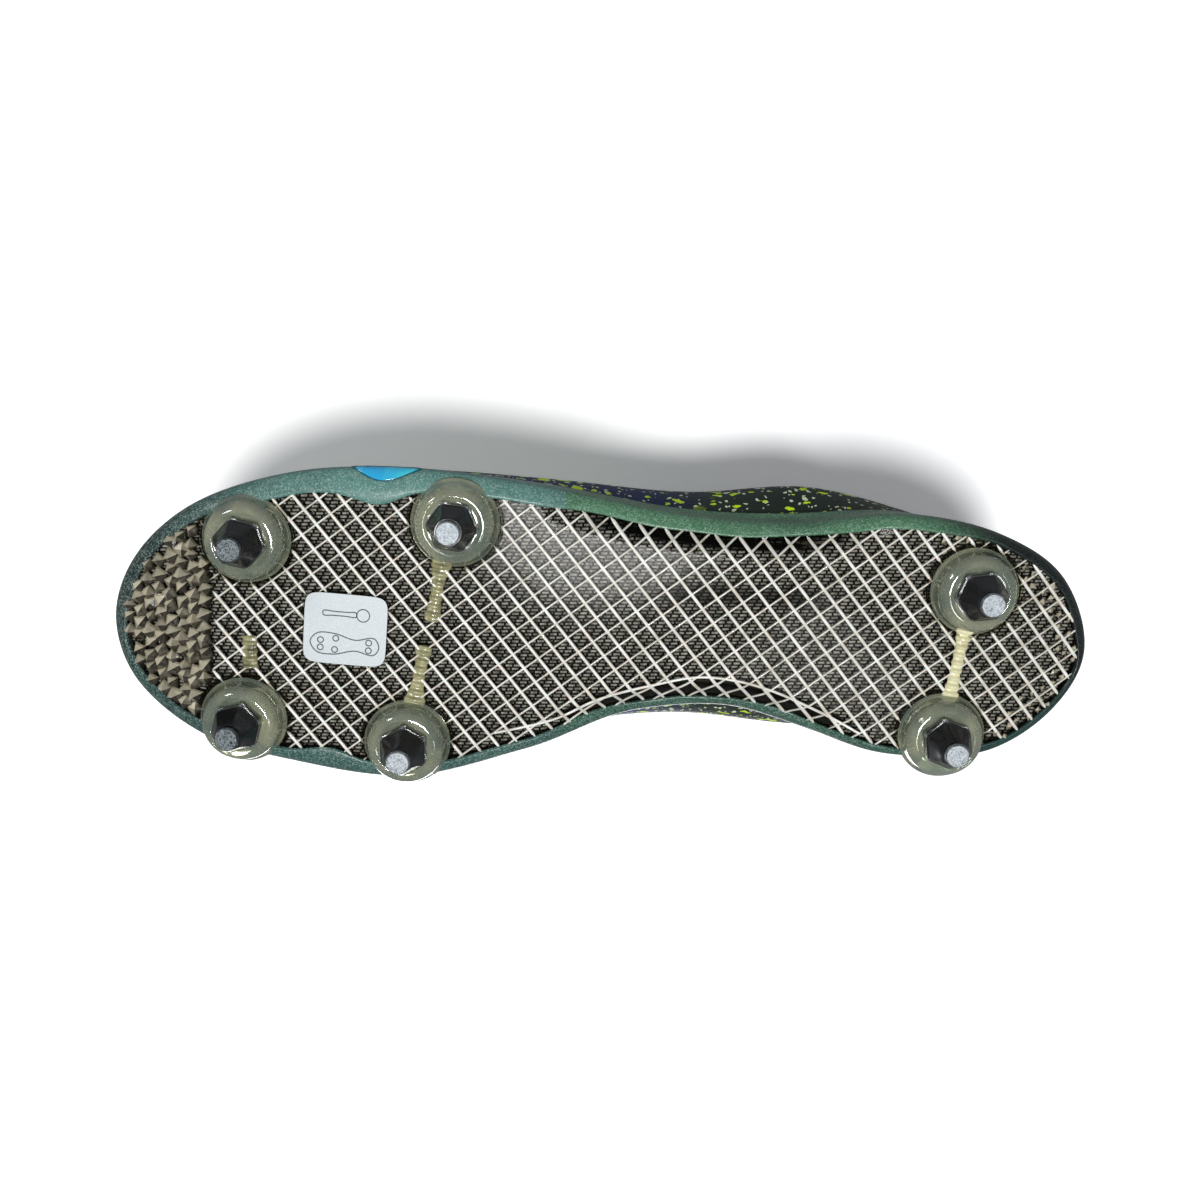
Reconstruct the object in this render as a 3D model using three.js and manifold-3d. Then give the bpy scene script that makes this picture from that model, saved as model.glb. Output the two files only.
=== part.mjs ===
// A left soccer boot for soft ground, with six screw-in studs.
// Millimetres. X runs from heel to toe, Y from the inner to the outer side of the foot, Z up.
// The boot stands on its stud tips at z = 0.
import * as THREE from 'three';
import { mergeVertices } from 'three/addons/utils/BufferGeometryUtils.js';
import Module from 'manifold-3d';

const wasm = await Module();
wasm.setup();

// ---- Driving dimensions ----
const LENGTH = 286;          // heel to toe over the rand
const WIDTH_SCALE = 1;       // widens or narrows the whole boot
const COLLAR_RISE = 65;      // from the plate's underside to the back of the ankle opening
const CLEARANCE = 0.3;       // between pieces that touch
const NEST_GAP = 0.5;        // upright gap between the slabs of the sole, whose sides slope

const STUD_HEIGHT = 12.7;    // stud tip to the dome's seat
const TIP_RADIUS = 3.4;
const TIP_HEIGHT = 1.8;
const CONE_TIP_RADIUS = 4.1;
const HEX_ACROSS_CORNERS = 15.2;
const HEX_HEIGHT = 3.6;
const WAIST_RADIUS = 6.2;    // the cone just above its hexagonal foot
const POST_RADIUS = 2.5;
const POST_LENGTH = 7;       // above the seat
const DOME_RADIUS = 12.5;
const DOME_SEAT_RADIUS = 8.5;
const DOME_HEIGHT = 6.2;     // seat to the plate's underside
const INSERT_RADIUS = 4.2;
const INSERT_FLANGE_RADIUS = 7.2;
const INSERT_FLANGE = 1.4;

const PLATE_THICKNESS = 2;
const WEAVE_THICKNESS = 0.6;
const CUSHION_THICKNESS = 3;
const BOARD_THICKNESS = 1.5;
const SOCKLINER_THICKNESS = 3.6;
const RAND_THICKNESS = 1.4;
const RAND_GAP = 0.4;         // between the rand and the upper it wraps
const RAND_TURN = 4.5;       // how far the rand rises between the plate and its widest line
const UPPER_THICKNESS = 1;
const LINING_THICKNESS = 0.6;
const PUFF_THICKNESS = 0.7;
const COUNTER_THICKNESS = 1.5;
const PAD_THICKNESS = 3.5;
const PAD_EDGE = 0.5;        // thickness of those inner layers at their borders
const EYESTAY_THICKNESS = 0.8;
const BINDING_HEIGHT = 3;
const BINDING_BULGE = 1;
const TONGUE_THICKNESS = 3;
const LACE_RADIUS = 1;
const EYELET_RADIUS = 2.7;
const LACE_ROWS = 6;
const LABEL_LENGTH = 24;
const LABEL_WIDTH = 21;
const LABEL_THICKNESS = 0.25;
const RIDGE_WIDTH = 4;
const RIDGE_HEIGHT = 1.6;

const SOLE_Z = STUD_HEIGHT + CLEARANCE + DOME_HEIGHT;
const WEAVE_Z = PLATE_THICKNESS + NEST_GAP;
const CUSHION_Z = WEAVE_Z + WEAVE_THICKNESS + NEST_GAP;
const BOARD_Z = CUSHION_Z + CUSHION_THICKNESS + NEST_GAP;
const SOCKLINER_Z = BOARD_Z + BOARD_THICKNESS + NEST_GAP;

// ---- Outlines, drawn for a boot 286 long, as [x, y] or [x, y, height above the plate] ----
const DRAWN_LENGTH = 286;
const DRAWN_RISE = 65;

// The rand's widest line, from the heel along the outer side to the toe and back.
const RAND_OUTLINE = [
  [-143, 0], [-134, 22], [-114, 34], [-85, 38.5], [-55, 34], [-20, 35.5], [18, 42.5],
  [55, 46], [90, 43.5], [120, 32.4], [137, 16], [143, -1.5], [138, -19], [118, -35.5],
  [88, -43.5], [55, -46.5], [20, -36.5], [-8, -26.5], [-38, -23], [-64, -29], [-90, -34],
  [-117, -31.5], [-136, -17],
];
// How far the plate stays inside that line, as [place around, distance].
const RIM_WIDTH = [
  [0, 4], [0.1, 3], [0.2, 3.4], [0.3, 4.5], [0.36, 6.6], [0.41, 5], [0.45, 3.6], [0.5, 5],
  [0.56, 6], [0.64, 7], [0.7, 4.2], [0.8, 4.2], [0.9, 3], [1, 4],
];
// The upper's fullest line.
const BULGE = [
  [-144, 0, 28], [-135, 19.5, 28], [-104, 32, 29], [-64, 41.5, 31], [-26, 38.5, 31], [15, 41.5, 27],
  [55, 43, 23], [90, 40, 20], [119, 29, 19.5], [135.5, 13, 20], [139.5, -2, 20], [134.5, -17, 20],
  [114, -33, 19.5], [82, -42.5, 21], [45, -43.5, 25], [10, -36, 29], [-25, -32, 31], [-60, -34, 31],
  [-104, -32, 29], [-135, -19, 28],
];
const SHOULDER = [
  [-141, 0, 48], [-131, 17.5, 47], [-96, 30, 45], [-56, 36, 47], [-16, 32, 49], [20, 31, 43],
  [52, 29, 37], [84, 24, 31], [107, 14, 29], [114, -3, 28], [105, -20, 29], [80, -31, 31],
  [50, -32, 36], [18, -30, 43], [-18, -29, 49], [-56, -31, 47], [-96, -27, 45], [-131, -16.5, 47],
];
// The edge of the ankle opening and of the throat in front of it.
const OPENING = [
  [-134, 0, 65], [-126, 13, 62], [-97, 23, 56], [-66, 27, 54], [-40, 25.5, 60], [-18, 20, 67],
  [5, 14, 62], [35, 11, 52], [55, 9, 46.5], [62, -0.5, 44.5], [55, -10, 46.5], [35, -12, 52],
  [5, -15, 62], [-18, -21, 67], [-40, -25.5, 60], [-66, -26, 54], [-97, -22, 56], [-126, -12, 62],
];
const STUDS = [
  [102.2, 24.4], [104, -29.8], [42.6, 31.4], [55.7, -34.8], [-107.4, 17.5], [-101.9, -26.2],
];
// Ridge bars under the plate, from [x, y] to [x, y].
const RIDGES = [
  [[46, 21], [48.9, 2]], [[50.8, -5], [54, -24]],
  [[-106, 8], [-103, -17]], [[101.8, -4], [101.7, -14]],
];
// The waist, where the plate's sides turn up: where it starts and ends, and how much it lifts.
const WAIST = {
  from: -84, full: [-56, -12], to: 22, outerLift: 5.5, innerLift: 8, outerTurn: 6, innerTurn: 8,
};
const TOE_SPRING = { from: 104, to: 143, lift: 4 };
const HEEL_BEVEL = { from: -116, to: -143, lift: 2 };

// ---- Resolution ----
const AROUND = 40;
const LEVELS = [0, 0.08, 0.2, 0.4, 0.6, 0.8, 0.9, 1];
const ACROSS = [0.07, 0.16, 0.5, 0.84, 0.93];   // bend lines of the sole's slabs, between edges 0 and 1
const ROUND = 14;            // facets of the domes
const SMALL_ROUND = 12;      // facets of the inserts, posts and bores

// ---- Solids ----
const scaleX = LENGTH / DRAWN_LENGTH;
const scaleZ = COLLAR_RISE / DRAWN_RISE;
const place = ([x, y, z = 0]) => new THREE.Vector3(x * scaleX, y * WIDTH_SCALE, z * scaleZ);

function toSolid(geometry) {
  const bare = geometry.clone();
  bare.deleteAttribute('normal');
  bare.deleteAttribute('uv');
  const merged = mergeVertices(bare, 1e-4);
  const triangles = [];
  for (let k = 0; k < merged.index.count; k += 3) {
    const [a, b, c] = [0, 1, 2].map((n) => merged.index.getX(k + n));
    if (a !== b && b !== c && c !== a) triangles.push(a, b, c);
  }
  return new wasm.Manifold(new wasm.Mesh({
    numProp: 3,
    vertProperties: new Float32Array(merged.attributes.position.array),
    triVerts: new Uint32Array(triangles),
  }));
}

function toGeometry(solid) {
  const mesh = solid.getMesh();
  const geometry = new THREE.BufferGeometry();
  geometry.setAttribute('position', new THREE.Float32BufferAttribute(mesh.vertProperties, 3));
  geometry.setIndex(new THREE.Uint32BufferAttribute(mesh.triVerts, 1));
  return geometry;
}

// A closed body between two grids of points. The rows may run round and meet.
function between(outer, inner, ringed) {
  const rows = outer.length;
  const columns = outer[0].length;
  const points = [...outer.flat(), ...inner.flat()];
  const at = (layer, i, j) => (layer * rows + (i % rows)) * columns + j;
  const index = [];
  const quad = (a, b, c, d) => index.push(a, b, c, a, c, d);
  for (let i = 0; i < (ringed ? rows : rows - 1); i += 1) {
    for (let j = 0; j < columns - 1; j += 1) {
      quad(at(0, i, j), at(0, i + 1, j), at(0, i + 1, j + 1), at(0, i, j + 1));
      quad(at(1, i, j), at(1, i, j + 1), at(1, i + 1, j + 1), at(1, i + 1, j));
    }
    const end = columns - 1;
    quad(at(0, i, 0), at(1, i, 0), at(1, i + 1, 0), at(0, i + 1, 0));
    quad(at(0, i, end), at(0, i + 1, end), at(1, i + 1, end), at(1, i, end));
  }
  for (let j = 0; !ringed && j < columns - 1; j += 1) {
    const end = rows - 1;
    quad(at(0, 0, j), at(0, 0, j + 1), at(1, 0, j + 1), at(1, 0, j));
    quad(at(0, end, j), at(1, end, j), at(1, end, j + 1), at(0, end, j + 1));
  }
  const volume = index.reduce((sum, _, k) => {
    if (k % 3) return sum;
    const [a, b, c] = [0, 1, 2].map((n) => points[index[k + n]]);
    return sum + a.dot(b.clone().cross(c));
  }, 0);
  const geometry = new THREE.BufferGeometry().setFromPoints(points);
  geometry.setIndex(volume > 0 ? index : index.reverse());
  return toSolid(geometry);
}

// The largest of the separate bodies that a cut leaves.
function largest(solid) {
  return solid.decompose().reduce((best, part) => (part.volume() > best.volume() ? part : best));
}

// ---- The boot's outer form: u runs round it from the heel along the outer side, v from sole to edge ----
const closed = (outline) => new THREE.CatmullRomCurve3(outline.map(place), true, 'centripetal');
const randCurve = closed(RAND_OUTLINE);
const upperCurves = [BULGE, SHOULDER, OPENING].map(closed);
const wrap = (u) => ((u % 1) + 1) % 1;

// Places around the boot, closer together at heel and toe.
const stations = Array.from({ length: AROUND }, (_, k) => {
  const t = k / AROUND;
  return t - (0.6 * Math.sin(4 * Math.PI * t)) / (4 * Math.PI);
});

function inward(u) {
  const along = randCurve.getTangentAt(wrap(u));
  return new THREE.Vector3(along.y, -along.x, 0).negate().normalize();
}

function insetPoint(u, distance) {
  const side = inward(u);
  const probe = randCurve.getPointAt(wrap(u));
  return probe.addScaledVector(side, side.dot(probe) > 0 ? -distance : distance);
}

function rimWidth(u) {
  const k = RIM_WIDTH.findIndex(([place_]) => place_ > wrap(u));
  const [[u0, w0], [u1, w1]] = [RIM_WIDTH[k - 1], RIM_WIDTH[k]];
  return THREE.MathUtils.mapLinear(wrap(u), u0, u1, w0, w1);
}

// The plate's edge on one side at a given x.
function edgeAt(x, outerSide) {
  const half = stations.filter((u) => (outerSide ? u <= 0.5 : u > 0.5 || u === 0));
  const edge = half.map((u) => insetPoint(u, rimWidth(u))).sort((a, b) => a.x - b.x);
  const k = THREE.MathUtils.clamp(edge.findIndex((p) => p.x > x), 1, edge.length - 1);
  return THREE.MathUtils.mapLinear(x, edge[k - 1].x, edge[k].x, edge[k - 1].y, edge[k].y);
}

// Height of the plate's underside above the stud tips.
function plateHeight(x, y) {
  const { smoothstep } = THREE.MathUtils;
  const s = x / scaleX;
  const waist = smoothstep(s, WAIST.from, WAIST.full[0]) * (1 - smoothstep(s, WAIST.full[1], WAIST.to));
  const toOuter = (edgeAt(x, true) - y) / WAIST.outerTurn;
  const toInner = (y - edgeAt(x, false)) / WAIST.innerTurn;
  const outerLift = WAIST.outerLift * (1 - smoothstep(toOuter, 0, 1));
  const innerLift = WAIST.innerLift * (1 - smoothstep(toInner, 0, 1));
  const ramp = ({ from, to }) => THREE.MathUtils.clamp((s - from) / (to - from), 0, 1) ** 2;
  const ends = TOE_SPRING.lift * ramp(TOE_SPRING) + HEEL_BEVEL.lift * ramp(HEEL_BEVEL);
  return SOLE_Z + waist * (outerLift + innerLift) + ends;
}

// A point over the plate, inset from the rand's widest line and raised above the plate's underside.
function solePoint(u, inset, rise) {
  const point = insetPoint(u, inset);
  const edge = insetPoint(u, rimWidth(u));
  return point.setZ(plateHeight(edge.x, edge.y) + rise);
}

const EDGE_INSET = RAND_THICKNESS + 2 * CLEARANCE;

function skin(u, v) {
  const foot = solePoint(u, EDGE_INSET, BOARD_Z);
  const rest = upperCurves.map((curve) => curve.getPointAt(wrap(u)).add(new THREE.Vector3(0, 0, SOLE_Z)));
  const rib = new THREE.CatmullRomCurve3([foot, ...rest]);
  return rib.getPoint(THREE.MathUtils.clamp(v, 0, 1));
}

// A point at a depth under the outer skin (negative is outside), or past its upper edge by a rise.
function under(u, v, depth, rise = 0) {
  const step = 0.004;
  const point = skin(u, v);
  const around = skin(u + step, v).sub(skin(u - step, v));
  const up = skin(u, Math.min(v + step, 1)).sub(skin(u, Math.max(v - step, 0)));
  const outward = up.clone().cross(around).normalize();
  return point.addScaledVector(outward, -depth).addScaledVector(up.normalize(), rise);
}

// A layer of the upper between two depths, over some places and levels. Depths may depend on both.
function layer(places, levels, outerDepth, innerDepth, ringed = false) {
  const grid = (depth) => places.map((u) => levels.map((v) => under(u, v, depth(u, v))));
  return between(grid(outerDepth), grid(innerDepth), ringed);
}
const constant = (value) => () => value;

// Stations from one place to another, both counted in stations from the heel centre.
const span = (from, to) => Array.from({ length: to - from + 1 }, (_, k) => {
  const n = from + k;
  return stations[(n + AROUND) % AROUND] + Math.floor(n / AROUND);
});

// ---- Inner layers of the upper, by stations and levels ----
const PUFF = { name: 'toe_puff', from: 16, to: 24, levels: [1, 3], thickness: PUFF_THICKNESS };
const COUNTER = { name: 'heel_counter', from: -5, to: 5, levels: [1, 4], thickness: COUNTER_THICKNESS };
const OUTER_PAD = { name: 'ankle_pad_lateral', from: 3, to: 8, levels: [4, 6], thickness: PAD_THICKNESS };
const INNER_PAD = { name: 'ankle_pad_medial', from: 32, to: 37, levels: [4, 6], thickness: PAD_THICKNESS };
const STUFFING = [PUFF, COUNTER, OUTER_PAD, INNER_PAD];

function stuffingAt(piece, u, v) {
  const places = span(piece.from, piece.to);
  const k = places.findIndex((value) => Math.abs(wrap(value - u + 0.5) - 0.5) < 1e-6);
  const j = LEVELS.indexOf(v);
  if (k < 0 || j < piece.levels[0] || j > piece.levels[1]) return 0;
  const inside = k > 0 && k < places.length - 1 && j > piece.levels[0] && j < piece.levels[1];
  return inside ? piece.thickness : PAD_EDGE;
}

const STUFFING_DEPTH = UPPER_THICKNESS + CLEARANCE;
function liningDepth(u, v) {
  const stuffing = Math.max(...STUFFING.map((piece) => stuffingAt(piece, u, v)));
  return STUFFING_DEPTH + (stuffing > 0 ? stuffing + CLEARANCE : 0);
}

function stuffing(piece) {
  const levels = LEVELS.slice(piece.levels[0], piece.levels[1] + 1);
  const depth = (u, v) => STUFFING_DEPTH + stuffingAt(piece, u, v);
  return layer(span(piece.from, piece.to), levels, constant(STUFFING_DEPTH), depth);
}

// ---- Sole ----
// A slab that follows the plate between two stations of the outer side, inset from the rand's line.
// Between its own two edges it bends along the same lines as the plate, so that slabs nest.
const plateInset = (u) => rimWidth(u) + CLEARANCE;

function soleRow(u, inset) {
  const start = insetPoint(u, plateInset(u));
  const end = insetPoint(1 - u, plateInset(1 - u));
  const chord = end.clone().sub(start);
  const bends = [0, ...ACROSS, 1];
  const heights = bends.map((share) => {
    const point = start.clone().addScaledVector(chord, share);
    return plateHeight(point.x, point.y);
  });
  const heightAt = (share) => {
    const s = THREE.MathUtils.clamp(share, 0, 0.9999);
    const k = bends.findIndex((value) => value > s);
    return THREE.MathUtils.mapLinear(s, bends[k - 1], bends[k], heights[k - 1], heights[k]);
  };
  const square = chord.lengthSq();
  const shareOf = (point) => (square < 1e-6 ? 0 : point.clone().sub(start).dot(chord) / square);
  const outer = insetPoint(u, inset(u));
  const inner = insetPoint(1 - u, inset(1 - u));
  const [low, high] = [shareOf(outer), shareOf(inner)];
  const roomy = low < ACROSS[0] - 0.005;
  const within = ACROSS.map((share) => {
    const s = roomy ? share : THREE.MathUtils.lerp(low, high, share);
    return start.clone().addScaledVector(chord, s).setZ(heightAt(s));
  });
  return [outer.setZ(heightAt(low)), ...within, inner.setZ(heightAt(high))];
}

function soleSlab(from, to, inset, bottom, top) {
  const rows = span(from, to).map((u) => soleRow(u, inset));
  const raised = (rise) => rows.map((row) => row.map((p) => p.clone().setZ(p.z + rise)));
  return between(raised(bottom), raised(top), false);
}

// Points of the dome's round shoulder, as [distance inside its radius, height over its seat].
const DOME_SHOULDER = [[2.2, 1.1], [0.7, 3]];

function dome(grow) {
  const seat = STUD_HEIGHT + CLEARANCE - grow;
  const profile = [
    [0, seat], [DOME_SEAT_RADIUS + grow, seat],
    ...DOME_SHOULDER.map(([inside, rise]) => [DOME_RADIUS - inside + grow, seat + rise]),
    [DOME_RADIUS + grow, SOLE_Z],
    [DOME_RADIUS + grow, SOLE_Z + PLATE_THICKNESS + grow], [0, SOLE_Z + PLATE_THICKNESS + grow],
  ];
  return toSolid(new THREE.LatheGeometry(profile.map(([r, z]) => new THREE.Vector2(r, z)), ROUND));
}

// Lathe profiles turn about Y, so each is stood up along Z and moved to its stud.
function standAt(solid, [x, y]) {
  return solid.rotate([90, 0, 0]).translate([x * scaleX, y * WIDTH_SCALE, 0]);
}

const INSERT_COVER = 0.6;    // plastic left over both ends of an insert
const INSERT_Z = STUD_HEIGHT + CLEARANCE + INSERT_COVER;
const INSERT_TOP = SOLE_Z + PLATE_THICKNESS - INSERT_COVER;

function insertProfile(grow, bore) {
  const flange = INSERT_TOP - INSERT_FLANGE - grow;
  const low = INSERT_Z - grow;
  return [
    [bore, low], [INSERT_RADIUS + grow, low], [INSERT_RADIUS + grow, flange],
    [INSERT_FLANGE_RADIUS + grow, flange], [INSERT_FLANGE_RADIUS + grow, INSERT_TOP + grow],
    [bore, INSERT_TOP + grow],
  ].map(([r, z]) => new THREE.Vector2(r, z));
}

function insert() {
  const profile = insertProfile(0, POST_RADIUS + CLEARANCE);
  return toSolid(new THREE.LatheGeometry([...profile, profile[0].clone()], SMALL_ROUND));
}

function insertWell() {
  const well = toSolid(new THREE.LatheGeometry(insertProfile(CLEARANCE, 0), SMALL_ROUND));
  const bore = cylinder(POST_RADIUS + CLEARANCE, STUD_HEIGHT - 1, SOLE_Z);
  const mouth = cylinder(INSERT_FLANGE_RADIUS + CLEARANCE, INSERT_TOP, SOLE_Z + PLATE_THICKNESS + 1);
  return well.add(bore).add(mouth);
}

// A round solid about Y between two heights.
function cylinder(radius, low, high) {
  const geometry = new THREE.CylinderGeometry(radius, radius, high - low, SMALL_ROUND);
  return toSolid(geometry.translate(0, (low + high) / 2, 0));
}

function ridge([start, end]) {
  const a = place(start);
  const b = place(end);
  const geometry = new THREE.BoxGeometry(a.distanceTo(b), RIDGE_WIDTH, RIDGE_HEIGHT + 1);
  geometry.translate(0, 0, (1 - RIDGE_HEIGHT) / 2);
  geometry.rotateZ(Math.atan2(b.y - a.y, b.x - a.x));
  geometry.translate((a.x + b.x) / 2, (a.y + b.y) / 2, SOLE_Z);
  return toSolid(geometry);
}

function outsolePlate() {
  let plate = soleSlab(0, AROUND / 2, plateInset, 0, PLATE_THICKNESS);
  for (const bar of RIDGES) plate = plate.add(ridge(bar));
  for (const stud of STUDS) plate = plate.add(standAt(dome(0), stud));
  for (const stud of STUDS) plate = plate.subtract(standAt(insertWell(), stud));
  return largest(plate);
}

// The rand wraps from the plate's edge, round the turn and up over the foot of the upper. Its section
// under the turn, as [inset, rise]: shares of the rim's width for the lip, distances for the turn.
const RAND_LIP = { share: 0.45, rise: 0.6, turn: 0.4 };
const RAND_BACK = { share: 0.5, more: 0.9, rise: 0.4, low: 2.6, high: 0.4 };
const RAND_TAPER = [0.9, 0.5];   // its thickness halfway up its side and at its top, as shares

function rand() {
  const grids = [[], []];
  for (const u of stations) {
    const rim = rimWidth(u);
    const outside = (share, depth) => under(u, 0, depth).lerp(under(u, LEVELS[1], depth), share);
    grids[0].push([
      solePoint(u, rim, 0),
      solePoint(u, rim * RAND_LIP.share, RAND_LIP.rise),
      solePoint(u, RAND_LIP.turn, RAND_TURN / 2),
      solePoint(u, 0, RAND_TURN),
      outside(0.5, -RAND_GAP - RAND_THICKNESS * RAND_TAPER[0]),
      outside(1, -RAND_GAP - RAND_THICKNESS * RAND_TAPER[1]),
    ]);
    grids[1].push([
      solePoint(u, rim, PLATE_THICKNESS),
      solePoint(u, rim * RAND_BACK.share + RAND_BACK.more, PLATE_THICKNESS + RAND_BACK.rise),
      solePoint(u, EDGE_INSET - CLEARANCE, BOARD_Z - RAND_BACK.low),
      solePoint(u, EDGE_INSET - CLEARANCE, BOARD_Z - RAND_BACK.high),
      outside(0.5, -RAND_GAP),
      outside(1, -RAND_GAP),
    ]);
  }
  let wall = between(grids[0], grids[1], true);
  for (const stud of STUDS) wall = wall.subtract(standAt(dome(CLEARANCE), stud));
  return wall;
}

// The crescent window at the ball of the foot: a flat oval pushed through the outer wall.
const WINDOW = { x: 62.5, rise: 4.2, halfLength: 15, halfHeight: 2.4, from: 34, to: 62 };
function windowTool(grow) {
  const oval = new THREE.Shape();
  oval.absellipse(0, 0, WINDOW.halfLength + grow, WINDOW.halfHeight + grow, 0, Math.PI * 2);
  const depth = WINDOW.to - WINDOW.from;
  const geometry = new THREE.ExtrudeGeometry(oval, { depth, bevelEnabled: false, curveSegments: 10 });
  geometry.rotateX(Math.PI / 2);
  geometry.translate(WINDOW.x * scaleX, WINDOW.to * WIDTH_SCALE, SOLE_Z + WINDOW.rise);
  return toSolid(geometry);
}

function soleLabel() {
  const [halfX, halfY, corner] = [LABEL_LENGTH / 2, LABEL_WIDTH / 2, 3];
  const outline = new THREE.Shape();
  outline.absarc(halfX - corner, halfY - corner, corner, 0, Math.PI / 2);
  outline.absarc(corner - halfX, halfY - corner, corner, Math.PI / 2, Math.PI);
  outline.absarc(corner - halfX, corner - halfY, corner, Math.PI, Math.PI * 1.5);
  outline.absarc(halfX - corner, corner - halfY, corner, Math.PI * 1.5, Math.PI * 2);
  return toSolid(new THREE.ExtrudeGeometry(outline, {
    depth: LABEL_THICKNESS, bevelEnabled: false, curveSegments: 4,
  }));
}

// ---- Studs ----
function studCore() {
  const profile = [
    [0, 0], [TIP_RADIUS, 0], [TIP_RADIUS, TIP_HEIGHT], [POST_RADIUS, TIP_HEIGHT],
    [POST_RADIUS, STUD_HEIGHT + POST_LENGTH], [0, STUD_HEIGHT + POST_LENGTH],
  ];
  return toSolid(new THREE.LatheGeometry(profile.map(([r, z]) => new THREE.Vector2(r, z)), SMALL_ROUND));
}

function studCone() {
  const foot = TIP_HEIGHT + CLEARANCE;
  const hexRadius = HEX_ACROSS_CORNERS / 2;
  const hexBottom = STUD_HEIGHT - HEX_HEIGHT;
  const cone = [
    [0, foot], [CONE_TIP_RADIUS, foot], [WAIST_RADIUS, hexBottom], [hexRadius, hexBottom],
    [hexRadius, STUD_HEIGHT], [0, STUD_HEIGHT],
  ];
  const body = toSolid(new THREE.LatheGeometry(cone.map(([r, z]) => new THREE.Vector2(r, z)), 6));
  return body.subtract(cylinder(POST_RADIUS + CLEARANCE, 0, STUD_HEIGHT + 1));
}

// ---- Upper and closure ----
const THROAT = { top: 11, front: 19 };   // stations of the outer side where the throat starts and ends
const EYELET_LEVEL = 0.93;
const EYELETS = { first: 0.315, last: 0.455 };   // places round the boot of the top and front rows
const eyeletPlaces = Array.from({ length: LACE_ROWS }, (_, k) => (
  THREE.MathUtils.lerp(EYELETS.first, EYELETS.last, k / (LACE_ROWS - 1))));

// A drill through the upper's edge along its normal.
function eyeletTool(u) {
  const geometry = new THREE.CylinderGeometry(EYELET_RADIUS, EYELET_RADIUS, 8, 8);
  const from = under(u, EYELET_LEVEL, -4);
  const to = under(u, EYELET_LEVEL, 4);
  const way = to.clone().sub(from).normalize();
  const turn = new THREE.Quaternion().setFromUnitVectors(new THREE.Vector3(0, 1, 0), way);
  geometry.applyQuaternion(turn);
  geometry.translate(...from.lerp(to, 0.5).toArray());
  return toSolid(geometry);
}

function drilled(solid, sides) {
  let result = solid;
  for (const u of eyeletPlaces) {
    for (const side of sides) result = result.subtract(eyeletTool(side > 0 ? u : 1 - u));
  }
  return result;
}

function upperShell() {
  const shell = layer(stations, LEVELS, constant(0), constant(UPPER_THICKNESS), true);
  return largest(drilled(shell, [1, -1]));
}

// The lining stops short of the eyelets, from this level up.
const LINING_STOP = 0.84;
const THROAT_REACH = [-4, 7];   // how far outside and inside the upper the throat's cut reaches

function lining() {
  const levels = LEVELS.slice(1);
  const inner = (u, v) => liningDepth(u, v) + LINING_THICKNESS;
  const shell = layer(stations, levels, liningDepth, inner, true);
  const around = span(THROAT.top - 1, AROUND - THROAT.top + 1);
  const throat = layer(around, [LINING_STOP, 1], ...THROAT_REACH.map(constant));
  return largest(shell.subtract(throat));
}

const EYESTAY_LEVEL = 0.86;   // its lower edge
function eyestay(outerSide) {
  const [first, last] = [THROAT.top, THROAT.front];
  const places = outerSide ? span(first, last) : span(AROUND - last, AROUND - first);
  const levels = [EYESTAY_LEVEL, EYELET_LEVEL, 1];
  const strip = layer(places, levels, constant(-CLEARANCE - EYESTAY_THICKNESS), constant(-CLEARANCE));
  return largest(drilled(strip, [outerSide ? 1 : -1]));
}

function collarBinding() {
  const places = span(-THROAT.top, THROAT.top);
  const rises = [CLEARANCE, BINDING_HEIGHT / 2, BINDING_HEIGHT];
  const bulges = [BINDING_BULGE * 0.6, BINDING_BULGE, 0];
  const deepest = UPPER_THICKNESS + LINING_THICKNESS + CLEARANCE;
  const grid = (depth) => places.map((u) => rises.map((rise, k) => under(u, 1, depth(bulges[k]), rise)));
  return between(grid((bulge) => -bulge), grid((bulge) => deepest + bulge), false);
}

// The tongue lies under both edges of the throat and stands up above the ankle opening.
const TONGUE = {
  depth: 2.8 + 2 * LACE_RADIUS, frontDepth: 2.5, crown: 3, frontCrown: 0.5,
  levels: [0.82, 0.91, 1], standOut: [-9, 9], taper: 0.8,
};
function tongue() {
  const last = THROAT.front;
  const row = (n, extra) => {
    const share = (n - THROAT.top) / (last - THROAT.top);
    const depth = THREE.MathUtils.lerp(TONGUE.depth, TONGUE.frontDepth, share ** 6) + extra;
    const side = (u) => TONGUE.levels.map((v) => under(u, v, depth));
    const outer = side(stations[n]);
    const inner = side(stations[AROUND - n]);
    const crown = outer[2].clone().lerp(inner[2], 0.5);
    crown.z += THREE.MathUtils.lerp(TONGUE.crown, TONGUE.frontCrown, share);
    return [...outer, crown, ...inner.reverse()];
  };
  const front = (extra) => {
    const [from, to] = [stations[last], stations[AROUND - last]];
    return Array.from({ length: 7 }, (_, k) => {
      const u = THREE.MathUtils.lerp(from, to, k / 6);
      return under(u, TONGUE.levels[0], TONGUE.frontDepth + extra);
    });
  };
  const grid = (extra) => {
    const rows = [];
    for (let n = THROAT.top; n <= last; n += 1) rows.push(row(n, extra));
    const [back, up] = TONGUE.standOut;
    const top = rows[0].map((p) => new THREE.Vector3(p.x + back, p.y * TONGUE.taper, p.z + up));
    return [top, ...rows, front(extra)];
  };
  return between(grid(0), grid(TONGUE_THICKNESS), false);
}

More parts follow.
